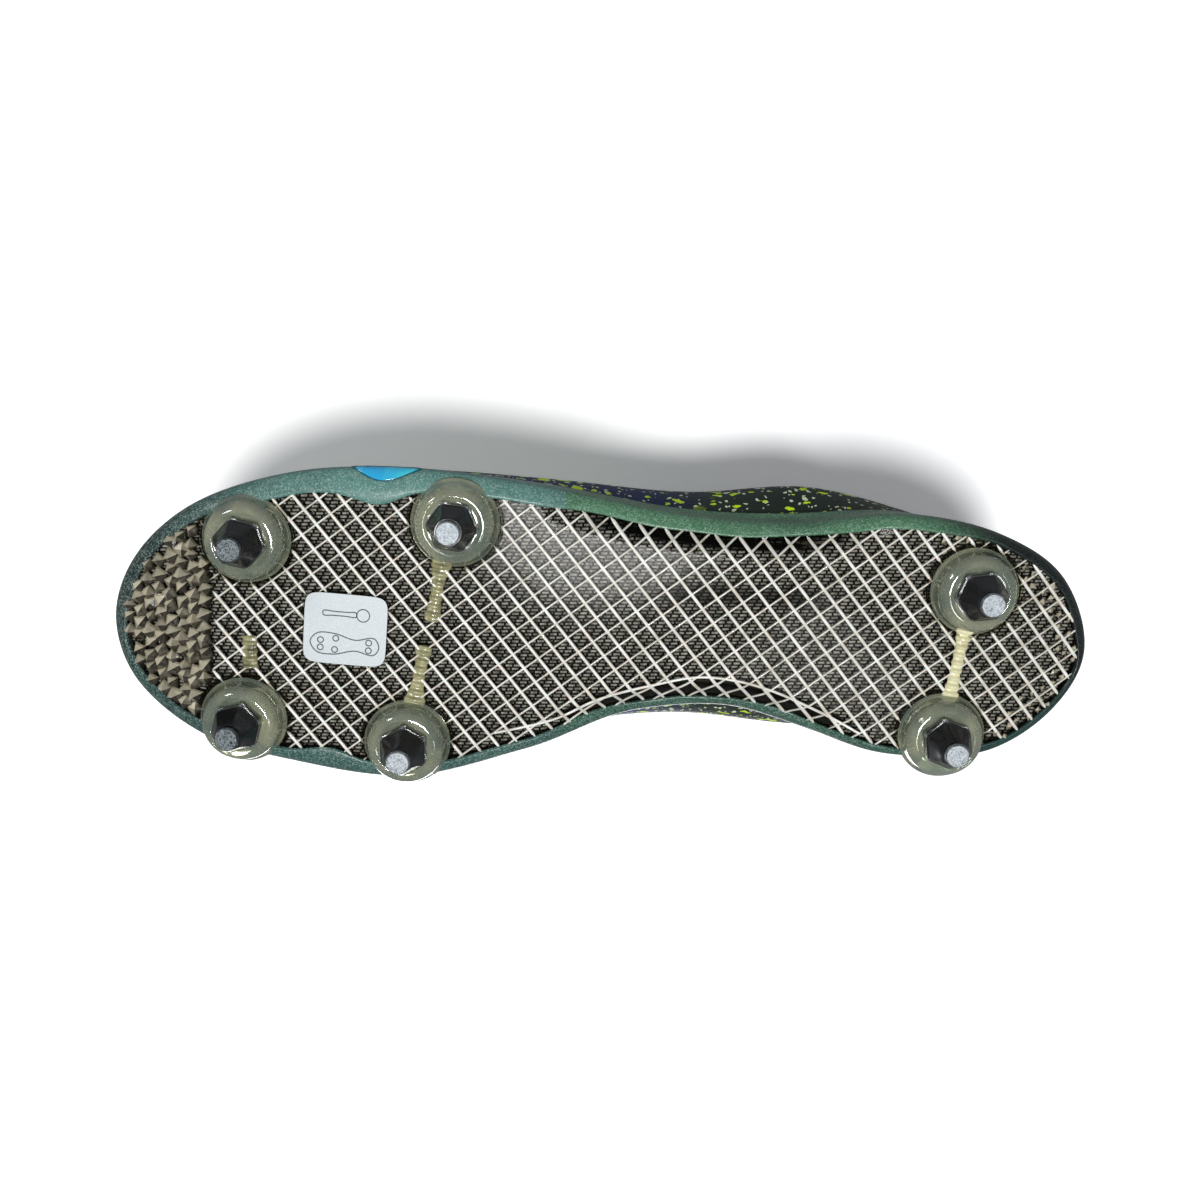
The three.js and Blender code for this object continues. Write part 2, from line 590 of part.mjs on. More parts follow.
// One lace in straight bars: over the tongue, down through an eyelet, along inside, and up again.
const LACE_DEPTH = 2.6;      // the lace's middle under the upper's outside, between two eyelets
function lace() {
  const over = EYESTAY_THICKNESS + CLEARANCE + 1.6 * LACE_RADIUS;
  const route = [];
  eyeletPlaces.toReversed().forEach((u, row) => {
    const sides = row % 2 ? [1 - u, u] : [u, 1 - u];
    const depths = [LACE_DEPTH, UPPER_THICKNESS / 2 - 0.2, -over];
    const through = (side) => depths.map((depth) => under(side, EYELET_LEVEL, depth));
    const threaded = (side) => [...through(side), under(side, 1, -over - 0.2)];
    const [start, end] = sides.map(threaded);
    const middle = start[3].clone().lerp(end[3], 0.5);
    middle.z += 0.6;
    route.push(...start, middle, ...end.reverse());
  });
  const path = new THREE.CatmullRomCurve3(route, false, 'centripetal');
  const section = new THREE.Shape();
  section.absarc(0, 0, LACE_RADIUS, 0, Math.PI * 2);
  return toSolid(new THREE.ExtrudeGeometry(section, { steps: 96, extrudePath: path, curveSegments: 4 }));
}

// ---- Materials ----
const material = (color, roughness, metalness = 0) => (
  new THREE.MeshStandardMaterial({ color, roughness, metalness }));
const clearPlastic = material(0xc8c8b8, 0.15);
const weave = material(0x2a2622, 0.45);
const tealPlastic = material(0x5a9280, 0.35);
const bluePlastic = material(0x35b8d8, 0.2);
const blackPlastic = material(0x15191c, 0.4);
const aluminium = material(0xc0c8d0, 0.4, 1);
const steel = material(0x9aa0a6, 0.35, 1);
const labelPaper = material(0xd8e0ea, 0.5);
const board = material(0xc9bfa8, 0.9);
const foam = material(0x26282c, 0.95);
const knit = material(0x1f2c52, 0.8);
const liningCloth = material(0x14181c, 0.9);
const stiffener = material(0xe4e0d4, 0.7);
const film = material(0x16203c, 0.35);
const laceCord = material(0xb8e000, 0.8);

// ---- Assembly ----
const boot = new THREE.Group();
boot.name = 'soccer_boot';

function addPart(name, solid, look, position = [0, 0, 0], turn = 0) {
  const mesh = new THREE.Mesh(toGeometry(solid), look);
  mesh.name = name;
  mesh.position.set(...position);
  mesh.rotation.z = turn;
  boot.add(mesh);
}

const LABEL_PLACE = [73.9, -1.2];
const LABEL_TURN = -0.03;
const HALF = AROUND / 2;
const CUSHION = { from: 12, to: HALF - 3 };
const FILLER = { from: 2, to: 11 };
const FILL_MARGIN = 3;
const SOCK_MARGIN = 4.4;     // room for the lining and what is behind it
const fillInset = (u) => rimWidth(u) + FILL_MARGIN;
const boardInset = () => EDGE_INSET + UPPER_THICKNESS + 2 * CLEARANCE;
const sockInset = () => EDGE_INSET + UPPER_THICKNESS + SOCK_MARGIN;

const wall = rand();
addPart('outsole_plate', outsolePlate(), clearPlastic);
addPart('weave_inlay', soleSlab(0, HALF, plateInset, WEAVE_Z, WEAVE_Z + WEAVE_THICKNESS), weave);
addPart('sidewall_rand', largest(wall.subtract(windowTool(CLEARANCE))), tealPlastic);
addPart('air_window_lateral', largest(wall.intersect(windowTool(0))), bluePlastic);
const overWeave = soleSlab(0, HALF, plateInset, WEAVE_Z, WEAVE_Z + WEAVE_THICKNESS + CLEARANCE);
const cushionTop = CUSHION_Z + CUSHION_THICKNESS;
addPart('air_cushion', soleSlab(CUSHION.from, CUSHION.to, fillInset, CUSHION_Z, cushionTop), bluePlastic);
const filler = soleSlab(FILLER.from, FILLER.to, fillInset, CUSHION_Z, cushionTop);
const insoleBoard = soleSlab(0, HALF, boardInset, BOARD_Z, BOARD_Z + BOARD_THICKNESS);
const sock = soleSlab(0, HALF, sockInset, SOCKLINER_Z, SOCKLINER_Z + SOCKLINER_THICKNESS);
addPart('filler_board', largest(filler.subtract(overWeave)), board);
addPart('insole_board', largest(insoleBoard.subtract(filler.translate([0, 0, CLEARANCE]))), board);
addPart('sockliner', largest(sock.subtract(insoleBoard.translate([0, 0, CLEARANCE]))), foam);
addPart('sole_label', soleLabel(), labelPaper,
  [LABEL_PLACE[0] * scaleX, LABEL_PLACE[1] * WIDTH_SCALE, SOLE_Z - CLEARANCE - LABEL_THICKNESS], LABEL_TURN);

addPart('upper_shell', upperShell(), knit);
for (const piece of STUFFING) {
  addPart(piece.name, stuffing(piece), piece.thickness === PAD_THICKNESS ? foam : stiffener);
}
addPart('lining', lining(), liningCloth);
addPart('collar_binding', collarBinding(), film);
addPart('eyestay_lateral', eyestay(true), film);
addPart('eyestay_medial', eyestay(false), film);
addPart('tongue', tongue(), knit);
addPart('lace', lace(), laceCord);

STUDS.forEach((stud, k) => {
  addPart(`stud_insert_${k + 1}`, standAt(insert(), stud), steel);
  addPart(`stud_cone_${k + 1}`, standAt(studCone(), stud), blackPlastic);
  addPart(`stud_core_${k + 1}`, standAt(studCore(), stud), aluminium);
});

// The origin lies under the middle of the boot.
const box = new THREE.Box3().setFromObject(boot);
const middle = box.getCenter(new THREE.Vector3());
boot.position.set(-middle.x, -middle.y, 0);

export default boot;
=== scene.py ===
# %% [markdown]
# # A soft-ground football boot, looked at from under its sole
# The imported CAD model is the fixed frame. Every visible surface is made again here on the same
# lines, finely enough for a close look, and takes the place of its CAD node.
# The sole is a clear moulded plate over a woven board, with six screw-in studs under it.

# %% The frame and its box
from functools import partial
import bmesh
import bpy
import numpy as np
from mathutils import Matrix, Vector


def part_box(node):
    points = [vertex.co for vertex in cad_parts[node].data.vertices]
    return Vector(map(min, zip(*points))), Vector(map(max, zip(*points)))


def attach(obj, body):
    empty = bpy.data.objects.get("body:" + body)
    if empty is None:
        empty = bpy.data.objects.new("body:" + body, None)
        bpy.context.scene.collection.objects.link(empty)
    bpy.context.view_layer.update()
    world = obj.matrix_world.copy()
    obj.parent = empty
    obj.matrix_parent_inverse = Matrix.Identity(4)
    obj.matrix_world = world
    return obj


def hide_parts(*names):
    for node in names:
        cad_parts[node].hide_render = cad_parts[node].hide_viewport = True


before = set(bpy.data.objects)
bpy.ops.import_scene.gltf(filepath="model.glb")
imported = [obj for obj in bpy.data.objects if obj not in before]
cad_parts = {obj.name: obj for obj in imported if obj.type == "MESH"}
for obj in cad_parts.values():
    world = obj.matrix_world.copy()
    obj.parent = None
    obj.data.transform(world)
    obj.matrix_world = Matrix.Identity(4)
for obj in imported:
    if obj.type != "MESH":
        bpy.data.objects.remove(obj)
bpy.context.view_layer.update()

# %% [markdown]
# The camera lies under the boot and looks up at the sole, a little from the inner side, with the
# toe at the left. A low lamp throws the boot's soft shadow on the backdrop behind it.

# %% Camera
scene = bpy.context.scene
scene.view_settings.view_transform = "Standard"
RIGHT, UP = (-0.99919, 0.03999, 0.00375), (0.03985, 0.97520, 0.21772)
BACK = (0.00505, 0.21770, -0.97600)
CAMERA_PLACE = (0.002692, 0.092963, -0.347361)
lens = bpy.data.cameras.new("camera")
lens.lens, lens.sensor_width, lens.clip_start = 39, 36, 0.01
camera = bpy.data.objects.new("camera", lens)
scene.collection.objects.link(camera)
axes = Matrix((RIGHT, UP, BACK)).transposed()
camera.matrix_world = Matrix.Translation(CAMERA_PLACE) @ axes.to_4x4()
scene.camera = camera
print("camera at", [round(x, 3) for x in camera.location])


# %% [markdown]
# Small tools come first: one turns a paint maker's hex value into light values, one adds a shader
# node with its settings and links, and one puts a grid of points into a mesh.

# %% Colour and node helpers
def colour(code):
    """A hex sRGB value as linear light: the sRGB standard's power curve, channel by channel."""
    channel = np.array([int(code[i:i + 2], 16) for i in (1, 3, 5)]) / 255
    light = np.where(channel <= 0.04045, channel / 12.92, ((channel + 0.055) / 1.055) ** 2.4)
    return (*light.tolist(), 1.0)


def node(tree, kind, sockets=None, output=0, **settings):
    """Adds one shader node, fills or links its sockets and gives back one of its outputs. A hex
    value becomes a colour."""
    made = tree.nodes.new("ShaderNode" + kind)
    for name, value in settings.items():
        setattr(made, name, value)
    for name, value in (sockets or {}).items():
        if isinstance(value, bpy.types.NodeSocket):
            tree.links.new(value, made.inputs[name])
        else:
            made.inputs[name].default_value = colour(value) if isinstance(value, str) else value
    return made.outputs[output] if made.outputs else made


COLOURS = {"output": 2, "data_type": "RGBA"}  # what makes a Mix node mix colours
SOFT = {"interpolation_type": "SMOOTHSTEP"}   # what makes a MapRange node ease in and out


def new_material(name):
    """An empty node material, and the function that adds a node to it."""
    material = bpy.data.materials.new(name)
    material.use_nodes = True
    material.node_tree.nodes.clear()
    return material, partial(node, material.node_tree)


def mottled(add, noise, low, high, first, second):
    """Two colours mixed by the values of a noise between low and high. Gives the noise too."""
    cloud = add("TexNoise", noise)
    share = add("MapRange", {0: cloud, 1: low, 2: high})
    return cloud, add("Mix", {0: share, 6: first, 7: second}, **COLOURS)


def finished(material, add, sockets, bump=None, **settings):
    """Ends a material with its shader and output. A bump is given as height, strength and depth."""
    if bump:
        bump = dict(zip(("Height", "Strength", "Distance"), bump))
        sockets["Normal"] = add("Bump", bump, **settings)
    add("OutputMaterial", {"Surface": add("BsdfPrincipled", sockets)})
    return material


# %% Mesh helpers
def cells(rows, columns, ring=False, tube=False):
    """Corner numbers of a grid's cells. A ring joins its last row to its first, a tube its
    columns."""
    r = np.arange(rows if ring else rows - 1)[:, None]
    c = np.arange(columns if tube else columns - 1)[None, :]
    r2, c2 = (r + 1) % rows * columns, (c + 1) % columns
    r = r * columns
    return np.stack([r + c, r2 + c, r2 + c2, r + c2], -1).reshape(-1, 4)


def repeated(faces, count, size):
    """The same faces again for each of count shapes, whose points follow each other."""
    return (faces[None] + (np.arange(count) * size)[:, None, None]).reshape(-1, faces.shape[-1])


def unit(v):
    """Vectors brought to length one."""
    return v / np.linalg.norm(v, axis=-1, keepdims=True)


def left_of(way):
    """The way to the left of each flat way, of length one."""
    return unit(np.stack([-way[..., 1], way[..., 0]], -1))


def around(count):
    """Angles evenly once round a circle."""
    return np.linspace(0, 2 * np.pi, count, endpoint=False)


def circle(a):
    """Points at angles a of a circle of radius one: cosine and sine."""
    return np.stack([np.cos(a), np.sin(a)], -1)


def folded(there, back):
    """A closed section at each row: along one face and back along the other."""
    return np.concatenate([there, back[:, ::-1]], 1)


def clean(made, thin=True):
    """Merges a mesh's doubles, takes out its empty faces and turns its normals outward."""
    work = bmesh.new()
    work.from_mesh(made.data)
    bmesh.ops.remove_doubles(work, verts=work.verts, dist=1e-6)
    if thin:
        bmesh.ops.dissolve_degenerate(work, edges=work.edges, dist=1e-7)
    bmesh.ops.recalc_face_normals(work, faces=work.faces)
    work.to_mesh(made.data)
    work.free()
    return made


def put_mesh(name, points, faces):
    """Points and faces as one mesh."""
    made = bpy.data.objects.new(name, bpy.data.meshes.new(name))
    made.data.from_pydata(points.reshape(-1, 3).tolist(), [], faces.tolist())
    scene.collection.objects.link(made)
    return clean(made)


def dress(made, material, body="boot", stands_for=(), smooth=True):
    """Gives a piece its material, the body it rides and the nodes it stands for."""
    made.data.materials.clear()
    made.data.materials.append(material)
    made.data.shade_smooth() if smooth else made.data.shade_flat()
    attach(made, body)
    if stands_for:
        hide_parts(*stands_for)
    print(made.name, len(made.data.polygons), "faces")
    return made


# %% [markdown]
# The boot's form is a few measured lines: the edge of the sole, the upper's fullest line, its
# shoulder and the edge of the ankle opening. A place round the boot is u, from 0 at the heel along
# the outer side to 0.5 at the toe and back to 1. All lines are in millimetres.

# %% The lines of the boot
SOLE_Z, PLATE, WEAVE_Z, WEAVE, BOARD_Z, SOCK_Z = 19.2, 2.0, 2.5, 0.6, 7.1, 9.1
RAND_WALL, RAND_GAP, RAND_TURN, EDGE_INSET = 1.4, 0.4, 4.5, 2.0
UPPER, LINING = 1.0, 0.6
RAND_LINE = [
    [-143, 0], [-134, 22], [-114, 34], [-85, 38.5], [-55, 34], [-20, 35.5], [18, 42.5], [55, 46],
    [90, 43.5], [120, 32.4], [137, 16], [143, -1.5], [138, -19], [118, -35.5], [88, -43.5],
    [55, -46.5], [20, -36.5], [-8, -26.5], [-38, -23], [-64, -29], [-90, -34], [-117, -31.5],
    [-136, -17],
]
RIM_WIDTH = [
    [0, 2.6], [0.1, 2.6], [0.2, 3.4], [0.3, 4.5], [0.36, 5.6], [0.41, 4.6], [0.45, 3.4], [0.5, 3.6],
    [0.56, 3.8], [0.64, 4.2], [0.7, 3.4], [0.8, 3.0], [0.9, 2.4], [1, 2.6],
]
BULGE = [
    [-144, 0, 28], [-135, 19.5, 28], [-104, 32, 29], [-64, 41.5, 31], [-26, 38.5, 31],
    [15, 41.5, 27], [55, 43, 23], [90, 40, 20], [119, 29, 19.5], [135.5, 13, 20], [139.5, -2, 20],
    [134.5, -17, 20], [114, -33, 19.5], [82, -42.5, 21], [45, -43.5, 25], [10, -36, 29],
    [-25, -32, 31], [-60, -34, 31], [-104, -32, 29], [-135, -19, 28],
]
SHOULDER = [
    [-141, 0, 48], [-131, 17.5, 47], [-96, 30, 45], [-56, 36, 47], [-16, 32, 49], [20, 31, 43],
    [52, 29, 37], [84, 24, 31], [107, 14, 29], [114, -3, 28], [105, -20, 29], [80, -31, 31],
    [50, -32, 36], [18, -30, 43], [-18, -29, 49], [-56, -31, 47], [-96, -27, 45], [-131, -16.5, 47],
]
OPENING = [
    [-134, 0, 65], [-126, 13, 62], [-97, 23, 56], [-66, 27, 54], [-40, 25.5, 60], [-18, 20, 67],
    [5, 14, 62], [35, 11, 52], [55, 9, 46.5], [62, -0.5, 44.5], [55, -10, 46.5], [35, -12, 52],
    [5, -15, 62], [-18, -21, 67], [-40, -25.5, 60], [-66, -26, 54], [-97, -22, 56], [-126, -12, 62],
]
STUDS = np.array([
    [102.2, 24.4], [104, -29.8], [42.6, 31.4], [55.7, -34.8], [-107.4, 17.5], [-101.9, -26.2],
])
low, high = (np.array(v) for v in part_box("stud_core_1"))
SHIFT = np.array([*((low + high)[:2] * 500 - STUDS[0]), 0.0])
print("lines to frame, mm", SHIFT.round(3))


def metres(points):
    """Points of the lines, in millimetres, as points of the frame."""
    return (np.asarray(points, float) + SHIFT) / 1000


def put_grid(name, points, ring=False, tube=False):
    """A grid of points of the lines as a mesh."""
    return put_mesh(name, metres(points), cells(*points.shape[:2], ring=ring, tube=tube))


# %% Smooth curves through the lines
def bend(p0, p1, p2, p3, w):
    """Centripetal Catmull-Rom: the cubic from p1 to p2 whose end slopes come from the points beside
    them, with each knot the square root of the distance after the last."""
    steps = (p1 - p0, p2 - p1, p3 - p2)
    d0, d1, d2 = (np.linalg.norm(step, axis=-1, keepdims=True) ** 0.5 for step in steps)
    t1 = ((p1 - p0) / d0 - (p2 - p0) / (d0 + d1) + (p2 - p1) / d1) * d1
    t2 = ((p2 - p1) / d1 - (p3 - p1) / (d1 + d2) + (p3 - p2) / d2) * d1
    w = np.asarray(w)[..., None]
    return p1 + t1 * w + (3 * (p2 - p1) - 2 * t1 - t2) * w ** 2 + (2 * (p1 - p2) + t1 + t2) * w ** 3


def along(points, t):
    """An open curve through points of shape (n, ..., 3), at t from 0 to 1."""
    p = np.asarray(points, float)
    p = np.concatenate([2 * p[:1] - p[1:2], p, 2 * p[-1:] - p[-2:-1]])
    s = np.clip(t, 0, 1) * (len(p) - 3)
    k = np.clip(np.floor(s).astype(int), 0, len(p) - 4)
    if p.ndim == 2:
        return bend(p[k], p[k + 1], p[k + 2], p[k + 3], s - k)
    pick = lambda n: np.take_along_axis(p, (k + n)[None, ..., None], 0)[0]
    return bend(pick(0), pick(1), pick(2), pick(3), s - k)


def closed_line(points, samples=4000):
    """A closed curve through points as a function of u, its share of the way round by length."""
    p = np.array([[*q, 0][:3] for q in points], float)
    s = np.arange(samples + 1) / samples * len(p)
    k = np.floor(s).astype(int)
    track = bend(*(p[(k + n) % len(p)] for n in (-1, 0, 1, 2)), s - k)
    length = np.r_[0, np.cumsum(np.linalg.norm(np.diff(track, axis=0), axis=1))]
    share = length / length[-1]
    return lambda u: np.stack([np.interp(np.mod(u, 1), share, track[:, n]) for n in range(3)], -1)


rand_line, bulge = closed_line(RAND_LINE), closed_line(BULGE)
shoulder, opening = closed_line(SHOULDER), closed_line(OPENING)


def station(t):
    """A place round the boot from an even share t: t less a share of sin(4 pi t)."""
    return t - 0.6 * np.sin(4 * np.pi * t) / (4 * np.pi)


def places(count, start=0.0, end=1.0):
    """Places round the boot, closer together at heel and toe."""
    return station(np.linspace(start, end, count))


# %% The sole's edge and its height
def inset(u, distance):
    """A point of the sole's edge line moved towards the boot's middle, square to the line."""
    u = np.asarray(u, float)
    way = rand_line(u + 0.0005) - rand_line(u - 0.0005)
    side = unit(np.stack([-way[..., 1], way[..., 0], 0 * u], -1))
    point = rand_line(u)
    sign = -np.sign((side * point).sum(-1, keepdims=True))
    return point + side * sign * np.broadcast_to(distance, u.shape)[..., None]


def rim(u):
    """How far the plate stays inside the sole's edge line."""
    return np.interp(np.mod(u, 1), *np.array(RIM_WIDTH).T)


EDGES = {}
for side_name, (first, last) in {"outer": (0, 0.5), "inner": (0.5, 1)}.items():
    line = np.linspace(first, last, 500)
    line = inset(line, rim(line))
    EDGES[side_name] = line[np.argsort(line[:, 0])]


def smoothstep(x, a=0.0, b=1.0):
    """0 below a, 1 above b, and 3x2 - 2x3 between."""
    x = np.clip((x - a) / (b - a), 0, 1)
    return x * x * (3 - 2 * x)


def plate_z(x, y):
    """Height of the plate's underside: flat, turned up at both sides of the waist, and lifted
    a little at the toe and the heel."""
    waist = smoothstep(x, -84, -56) * (1 - smoothstep(x, -12, 22))
    to_outer = np.interp(x, *EDGES["outer"][:, :2].T) - y
    to_inner = y - np.interp(x, *EDGES["inner"][:, :2].T)
    lift = 5.5 * (1 - smoothstep(to_outer, 0, 6)) + 8 * (1 - smoothstep(to_inner, 0, 8))
    toe = np.clip((x - 104) / 39, 0, 1) ** 2
    heel = np.clip((-116 - x) / 27, 0, 1) ** 2
    return SOLE_Z + waist * lift + 4 * toe + 2 * heel


def sole_point(u, distance, rise):
    """A point over the sole, a distance inside its edge line and above the plate's edge there."""
    point, edge = inset(u, distance), inset(u, rim(u))
    point[..., 2] = plate_z(edge[..., 0], edge[..., 1]) + rise
    return point


# %% The upper's outer form
def skin(u, v):
    """The upper's outside: at each place u a curve from the sole's edge up through the fullest
    line and the shoulder to the opening, at v from 0 to 1."""
    u, v = np.broadcast_arrays(np.asarray(u, float), np.asarray(v, float))
    rows = [line(u) + [0, 0, SOLE_Z] for line in (bulge, shoulder, opening)]
    return along(np.stack([sole_point(u, EDGE_INSET, BOARD_Z), *rows]), v)


def under(u, v, depth, rise=0.0):
    """A point at a depth under the upper's outside, along its normal, or past its top by a rise."""
    u, v = np.broadcast_arrays(np.asarray(u, float), np.asarray(v, float))
    step = 0.004
    round_way = skin(u + step, v) - skin(u - step, v)
    up = skin(u, np.minimum(v + step, 1)) - skin(u, np.maximum(v - step, 0))
    out = unit(np.cross(up, round_way))
    spread = lambda value: np.broadcast_to(value, u.shape)[..., None]
    return skin(u, v) - out * spread(depth) + unit(up) * spread(rise)


def capped(section):
    """Sections along a strip, with its two ends drawn together onto their middle lines."""
    half = section.shape[1] // 2
    middle = (section[:, :half] + section[:, half:][:, ::-1]) / 2
    ends = np.concatenate([middle, middle[:, ::-1]], 1)
    return np.concatenate([ends[:1], section, ends[-1:]])


print("sole edge", round(float(np.ptp(rand_line(np.linspace(0, 1, 400))[:, 0])), 1), "mm long")


# %% [markdown]
# The woven board seen through the plate is glass and carbon cloth in resin, cut like a sheet.
# Its threads are drawn with whole numbers: each square of the cloth shows either the pale thread or
# the black one, by the remainder of column plus row over four, which is a three-over-one twill.

# %% Woven board
def sole_sheet(rows, columns, distance, rise):
    """A grid over the sole: row by row from heel to toe, and straight across from the outer edge
    to the inner one. Its height is the plate's own, plus a rise."""
    u = places(rows, 0, 0.5)
    share = np.linspace(0, 1, columns)[None, :, None]
    outer, inner = inset(u, distance(u)), inset(1 - u, distance(1 - u))
    points = outer[:, None] * (1 - share) + inner[:, None] * share
    points[..., 2] = plate_z(points[..., 0], points[..., 1]) + rise
    return points


def slab(rows, columns, distance, bottom, top):
    """The closed section of a slab at each row: across its underside and back over its top."""
    return folded(*(sole_sheet(rows, columns, distance, rise) for rise in (bottom, top)))


THREAD_WIDE, THREAD_HIGH = 0.00062, 0.00104
CHANNEL_Y = 0.0135


def twill_material():
    """Black and pale cloth under resin. A pale thread shows as a dash three columns long and one
    row high. The rows are drawn 1 mm apart, coarser than the real ones, so that they show. A dark
    band is the shadow of the channel along the waist's outer side."""
    material, add = new_material("carbon_and_glass_twill_in_resin")
    where = add("TexCoord", output=3)
    squares = (1 / THREAD_WIDE, 1 / THREAD_HIGH, 1)
    turned = add("Mapping", {"Vector": where, "Rotation": (0, 0, 0.03), "Scale": squares})
    x, y = (add("SeparateXYZ", {0: turned}, output=n) for n in (0, 1))
    column, row = (add("Math", {0: value}, operation="FLOOR") for value in (x, y))
    step = add("Math", {0: column, 1: row}, operation="ADD")
    quarter = add("Math", {0: step, 1: 4.0}, operation="FLOORED_MODULO")
    warp = add("Math", {0: quarter, 1: 0.5}, operation="GREATER_THAN")
    across = add("Mix", {0: warp, 2: x, 3: y})
    inside = add("Math", {0: across, 1: 1.0}, operation="FLOORED_MODULO")
    arch = add("Math", {0: inside, 1: np.pi}, operation="MULTIPLY")
    arch = add("Math", {0: arch}, operation="SINE")
    cloud = add("TexNoise", {"Vector": where, "Scale": 900.0, "Detail": 2.0})
    patch = add("TexNoise", {"Vector": where, "Scale": 60.0, "Detail": 3.0})
    bright = add("MapRange", {0: cloud, 1: 0.35, 2: 0.65, 3: 0.0, 4: 1.0})
    light = add("Mix", {0: bright, 6: "#6F6D66", 7: "#CBC9C1"}, **COLOURS)
    dark = add("Mix", {0: patch, 6: "#030303", 7: "#100F0D"}, **COLOURS)
    base = add("Mix", {0: warp, 6: dark, 7: light}, **COLOURS)
    # painted shade: each thread darkens almost to black towards its curved edges, so dark lines run
    # between the threads
    shade = add("MapRange", {0: arch, 1: 0.45, 2: 0.9, 3: 0.04, 4: 1.0})
    base = add("Mix", {0: 1.0, 6: base, 7: shade}, **COLOURS, blend_type="MULTIPLY")
    place_x, place_y = (add("SeparateXYZ", {0: where}, output=n) for n in (0, 1))
    off = add("Math", {0: place_y, 1: CHANNEL_Y}, operation="SUBTRACT")
    off = add("Math", {0: off}, operation="ABSOLUTE")
    band = add("MapRange", {0: off, 1: 0.0012, 2: 0.0045, 3: 0.75, 4: 0.0}, **SOFT)
    start = add("MapRange", {0: place_x, 1: -0.072, 2: -0.058}, **SOFT)
    end = add("MapRange", {0: place_x, 1: -0.008, 2: -0.022}, **SOFT)
    band = add("Math", {0: band, 1: start}, operation="MULTIPLY")
    band = add("Math", {0: band, 1: end}, operation="MULTIPLY")
    base = add("Mix", {0: band, 6: base, 7: "#0B0A09"}, **COLOURS)
    return finished(material, add, {
        "Base Color": base, "Roughness": 0.6, "IOR": 1.5, "Specular IOR Level": 0.08,
    }, (arch, 0.5, 0.0003))


plate_edge = lambda u: rim(u) + 0.3
woven_board = slab(260, 60, plate_edge, WEAVE_Z, WEAVE_Z + WEAVE)
woven_board = put_grid("woven_board", woven_board, tube=True)
dress(woven_board, twill_material(), stands_for=["weave_inlay"])

# %% [markdown]
# The plate is injection-moulded clear polyurethane, 2 mm thick and glossy. A true glass shader
# would leave the cloth behind it dark, so the plate lets light straight through and adds only the
# mirror-like film of a smooth plastic, stronger at a slant.

# %% Clear plate
def film_material(name, tint, share, roughness):
    """Clear plastic: light passes, tinted a little, and a share of gloss, more at a slant, lies on
    top."""
    material, add = new_material(name)
    clear = add("BsdfTransparent", {"Color": tint})
    gloss = add("BsdfPrincipled", {
        "Base Color": "#26251F", "Roughness": roughness, "IOR": 1.5, "Specular IOR Level": 0.35,
    })
    slant = add("Fresnel", {"IOR": 1.5})
    amount = add("Math", {0: slant, 1: share}, operation="ADD")
    both = add("MixShader", {0: amount, 1: clear, 2: gloss})
    add("OutputMaterial", {"Surface": both})
    return material


clear_film = film_material("clear_moulded_polyurethane", "#FCFCFA", 0.02, 0.08)
clear_plate = put_grid("clear_plate", slab(260, 60, plate_edge, 0.0, PLATE), tube=True)
dress(clear_plate, clear_film, stands_for=["outsole_plate"])

# %% [markdown]
# Two families of straight ribs are moulded on the plate. The wide ones run towards the toe and the
# outer side, and the thin ones cross them. Each rib is a low rounded bar that follows the plate and
# sinks to nothing before an edge, a stud, the sticker or the toe's pyramids.

# %% Lattice of ribs
def lip_swell(u):
    """How much further the rand's lip reaches in, beside the window and at the inner ball: a bell
    curve along the boot on each side, given by its height, middle and width."""
    x = rand_line(u)[..., 0]
    outer, inner = (height * np.exp(-(((x - middle) / width) ** 2))
                    for height, middle, width in ((4.4, 64, 9), (2.6, 79, 8)))
    return np.where(np.mod(u, 1) < 0.5, outer, inner)


OUTLINE_U = np.linspace(0, 1, 900, endpoint=False)
OUTLINE = inset(OUTLINE_U, rim(OUTLINE_U) + lip_swell(OUTLINE_U))[:, :2]
OUTLINE_IN = np.stack([-np.gradient(OUTLINE[:, 1]), np.gradient(OUTLINE[:, 0])], 1)
OUTLINE_IN = unit(OUTLINE_IN * -np.sign((OUTLINE_IN * OUTLINE).sum(1, keepdims=True)))


def edge_room(xy):
    """Signed distance inside the plate's edge: to the nearest outline point, by its inward side."""
    room = np.empty(len(xy))
    for part in np.array_split(np.arange(len(xy)), max(1, len(xy) // 4000)):
        gap = xy[part, None] - OUTLINE[None]
        near = (gap ** 2).sum(-1).argmin(1)
        room[part] = (gap[np.arange(len(part)), near] * OUTLINE_IN[near]).sum(-1)
    return room


STICKER_AT, STICKER_TURN, STICKER_SIZE = np.array([73.9, -1.2]), 0.05, np.array([24.0, 21.0])
COS, SIN = np.cos(STICKER_TURN), np.sin(STICKER_TURN)
DOME_FOOT, RIB_STOP = 12.9, 0.4


def stud_gap(xy):
    """Distance to the nearest stud's axis."""
    return np.linalg.norm(xy[:, None] - STUDS[None], axis=-1).min(1)


def past_toe_line(xy):
    """How far a point lies beyond the shallow arc where the pyramids begin."""
    return xy[:, 0] - (112 + 0.004 * xy[:, 1] ** 2)


def rib_room(xy):
    """How far a point is from whatever ends a rib there, in millimetres."""
    own = (xy - STICKER_AT) @ np.array([[COS, -SIN], [SIN, COS]])
    sticker = (np.abs(own) - STICKER_SIZE / 2).max(1)
    stops = [edge_room(xy) - RIB_STOP, stud_gap(xy) - DOME_FOOT, sticker, -past_toe_line(xy)]
    return np.minimum.reduce(stops)


def plate_normal(x, y):
    """The plate's outward normal, downward: from its slopes over a tenth of a millimetre."""
    dx = (plate_z(x + 0.1, y) - plate_z(x - 0.1, y)) / 0.2
    dy = (plate_z(x, y + 0.1) - plate_z(x, y - 0.1)) / 0.2
    return unit(np.stack([dx, dy, -np.ones_like(dx)], -1))


